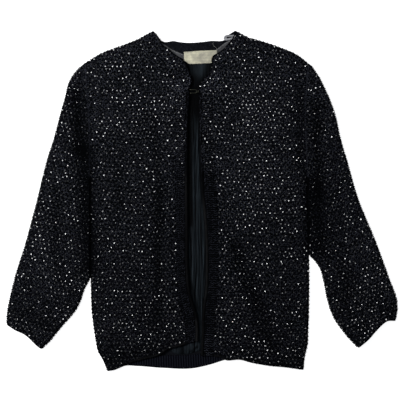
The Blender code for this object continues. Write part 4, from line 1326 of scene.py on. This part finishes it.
def make_label():
    width, height = LABEL_SIZE
    steps = [np.linspace(-size / 2, size / 2, count) for size, count in ((width, 49), (height, 19))]
    across, up = np.meshgrid(*steps)
    bend = 0.35 * np.sin(across / width * 3 * math.pi) ** 2
    bow = 0.5 * np.cos(across / width * 5.2) * (up / height)
    tuck = np.clip(1 - (across + width / 2) / TUCK_REACH[0], 0.0, 1.0)
    tuck = tuck * np.clip(1 - (up + height / 2) / TUCK_REACH[1], 0.0, 1.0)
    low = LOW_LINING + LINING + SEAM + bend
    ends = 0.35 * (np.abs(across) > width / 2 - 4.5)
    plan = turned_label(across + LABEL_TUCK[0] * tuck, up + bow + LABEL_TUCK[1] * tuck)
    shape = Wall(plan, low, low + LINING * 0.8 + ends)
    x, y = (shape.points[:, :2] - np.array(LABEL_PLACE)).T
    threads = 0.18 * np.sin(y / 0.8 + 0.6 * np.sin(x / 6.0)) + 0.2 * np.sin(x / 5.0 + y / 3.0)
    paler = np.clip(0.97 - 0.012 * x + 0.02 * y + threads, 0.2, 1.4)
    label = dress("label", "weave", shape, "cream_label", paler)
    runs = []
    top = LOW_LINING + 2 * LINING + SEAM + 0.3
    for side in (-1, 1):
        for step in np.linspace(-0.42, 0.42, LABEL_STITCHES):
            start = turned_label(side * (width / 2 - 2.2), step * height)
            end = turned_label(side * (width / 2 + 0.5), (step + 0.03) * height)
            route = np.array([start, start + (end - start) * 0.5, end])
            runs.append(raised(route, (top, top + 0.25, top - 0.9)))
    loose = smooth_run(LOOSE_THREAD, 1.0)
    runs.append(raised(loose, np.linspace(top, LOW_LINING + LINING + 0.7, len(loose))))
    sewing = add_threads("label_stitches", runs, "cream_label")
    declare(label, None)


def make_hanging_loop():
    """A satin ribbon folded double, as a flat tube."""
    outer, inner = (part_of(smooth_run(points), 0.0, 1.0, 44) for points in (LOOP_OUTER, LOOP_INNER))
    middle = (outer + inner) / 2
    climb = np.clip((LOOP_FOOT - middle[:, 1]) / LOOP_CLIMB, 0.0, 1.0)
    level = LOW_LINING + 0.7 + (LINING + SEAM) * climb
    shape = rolled_tube(middle, 1.8, 0.7, 0.25, level)
    # Painted light on the ribbon's raised parts, painted shade where it dips to the lining.
    bright = 0.5 * np.clip((shape.points[:, 2] - LOW_LINING) / 2.4, 0.0, 1.0) ** 1.5
    loop = dress("hanging_loop", "ribbon", shape, "pale_satin", bright)
    declare(loop)


def wire_route(leg, half, bend_x, bend_height):
    """Out along a leg of x and height, half a circle to the right, and back beside itself."""
    route = [(x, HOOK_LEVEL + half, z) for x, z in leg]
    for turn in math.pi / 2 - np.linspace(0.0, math.pi, 9):
        route.append((bend_x + half * math.cos(turn), HOOK_LEVEL + half * math.sin(turn), bend_height))
    return route + [(x, HOOK_LEVEL - half, z) for x, z in reversed(leg)]


def make_hook_and_eye():
    under = UPPER - SEAM - WIRE - 0.1
    middle = under + 1.1
    over = middle + 2 * WIRE + SEAM
    below = middle - 2 * WIRE - SEAM
    eye = [(-20.0, under), (-12.8, under), (-9.0, middle), (-1.6, middle)]
    hook = [
        (15.0, under), (4.6, under), (2.2, over), (0.9, over + 0.1), (0.0, middle + 0.8),
        (-0.3, middle), (0.2, below + 0.3), (1.2, below), (2.4, below),
    ]
    for node, route in (
        ("neck_eye", wire_route(eye, EYE_HALF, -1.2, middle)),
        ("neck_hook", wire_route(hook, HOOK_HALF, 2.6, below)),
    ):
        dress(node, "wire", Shape(*thread_run(smooth_run(route, 0.4), WIRE, 12)), "dull_wire")


def set_stage():
    """Pale floor, soft studio light from above and from the left, and the camera."""
    bpy.ops.mesh.primitive_plane_add(size=30.0, location=(0.0, 0.0, -0.0003))
    floor = bpy.context.object
    floor.name = "floor"
    floor.data.materials.append(pale_floor())
    scene = bpy.context.scene
    scene.world = bpy.data.worlds.new("studio")
    scene.world.use_nodes = True
    background = scene.world.node_tree.nodes["Background"]
    background.inputs["Color"].default_value = (0.8, 0.92, 1.15, 1.0)
    background.inputs["Strength"].default_value = 0.13
    for name, place, size, power in (("key", KEY_FROM, 0.32, 22.0), ("window", WINDOW_FROM, 2.4, 17.0)):
        lamp = bpy.data.lights.new(name, "AREA")
        lamp.size = size
        lamp.energy = power
        made = bpy.data.objects.new(name, lamp)
        made.location = place
        made.rotation_euler = Vector(place).to_track_quat("Z", "Y").to_euler()
        made.visible_camera = False
        scene.collection.objects.link(made)
    camera = bpy.data.cameras.new("camera")
    camera.lens = LENS
    camera.sensor_width = SENSOR
    camera.clip_start = 0.05
    made = bpy.data.objects.new("camera", camera)
    made.location = CAMERA_AT
    scene.collection.objects.link(made)
    scene.camera = made
    scene.view_settings.view_transform = "Standard"


set_stage()
make_back()
make_fronts()
make_sleeves()
make_neckbands()
make_lining()
make_edge_bands()
make_bindings()
make_hem_facing()
make_neck_tape()
make_label()
make_hanging_loop()
make_hook_and_eye()
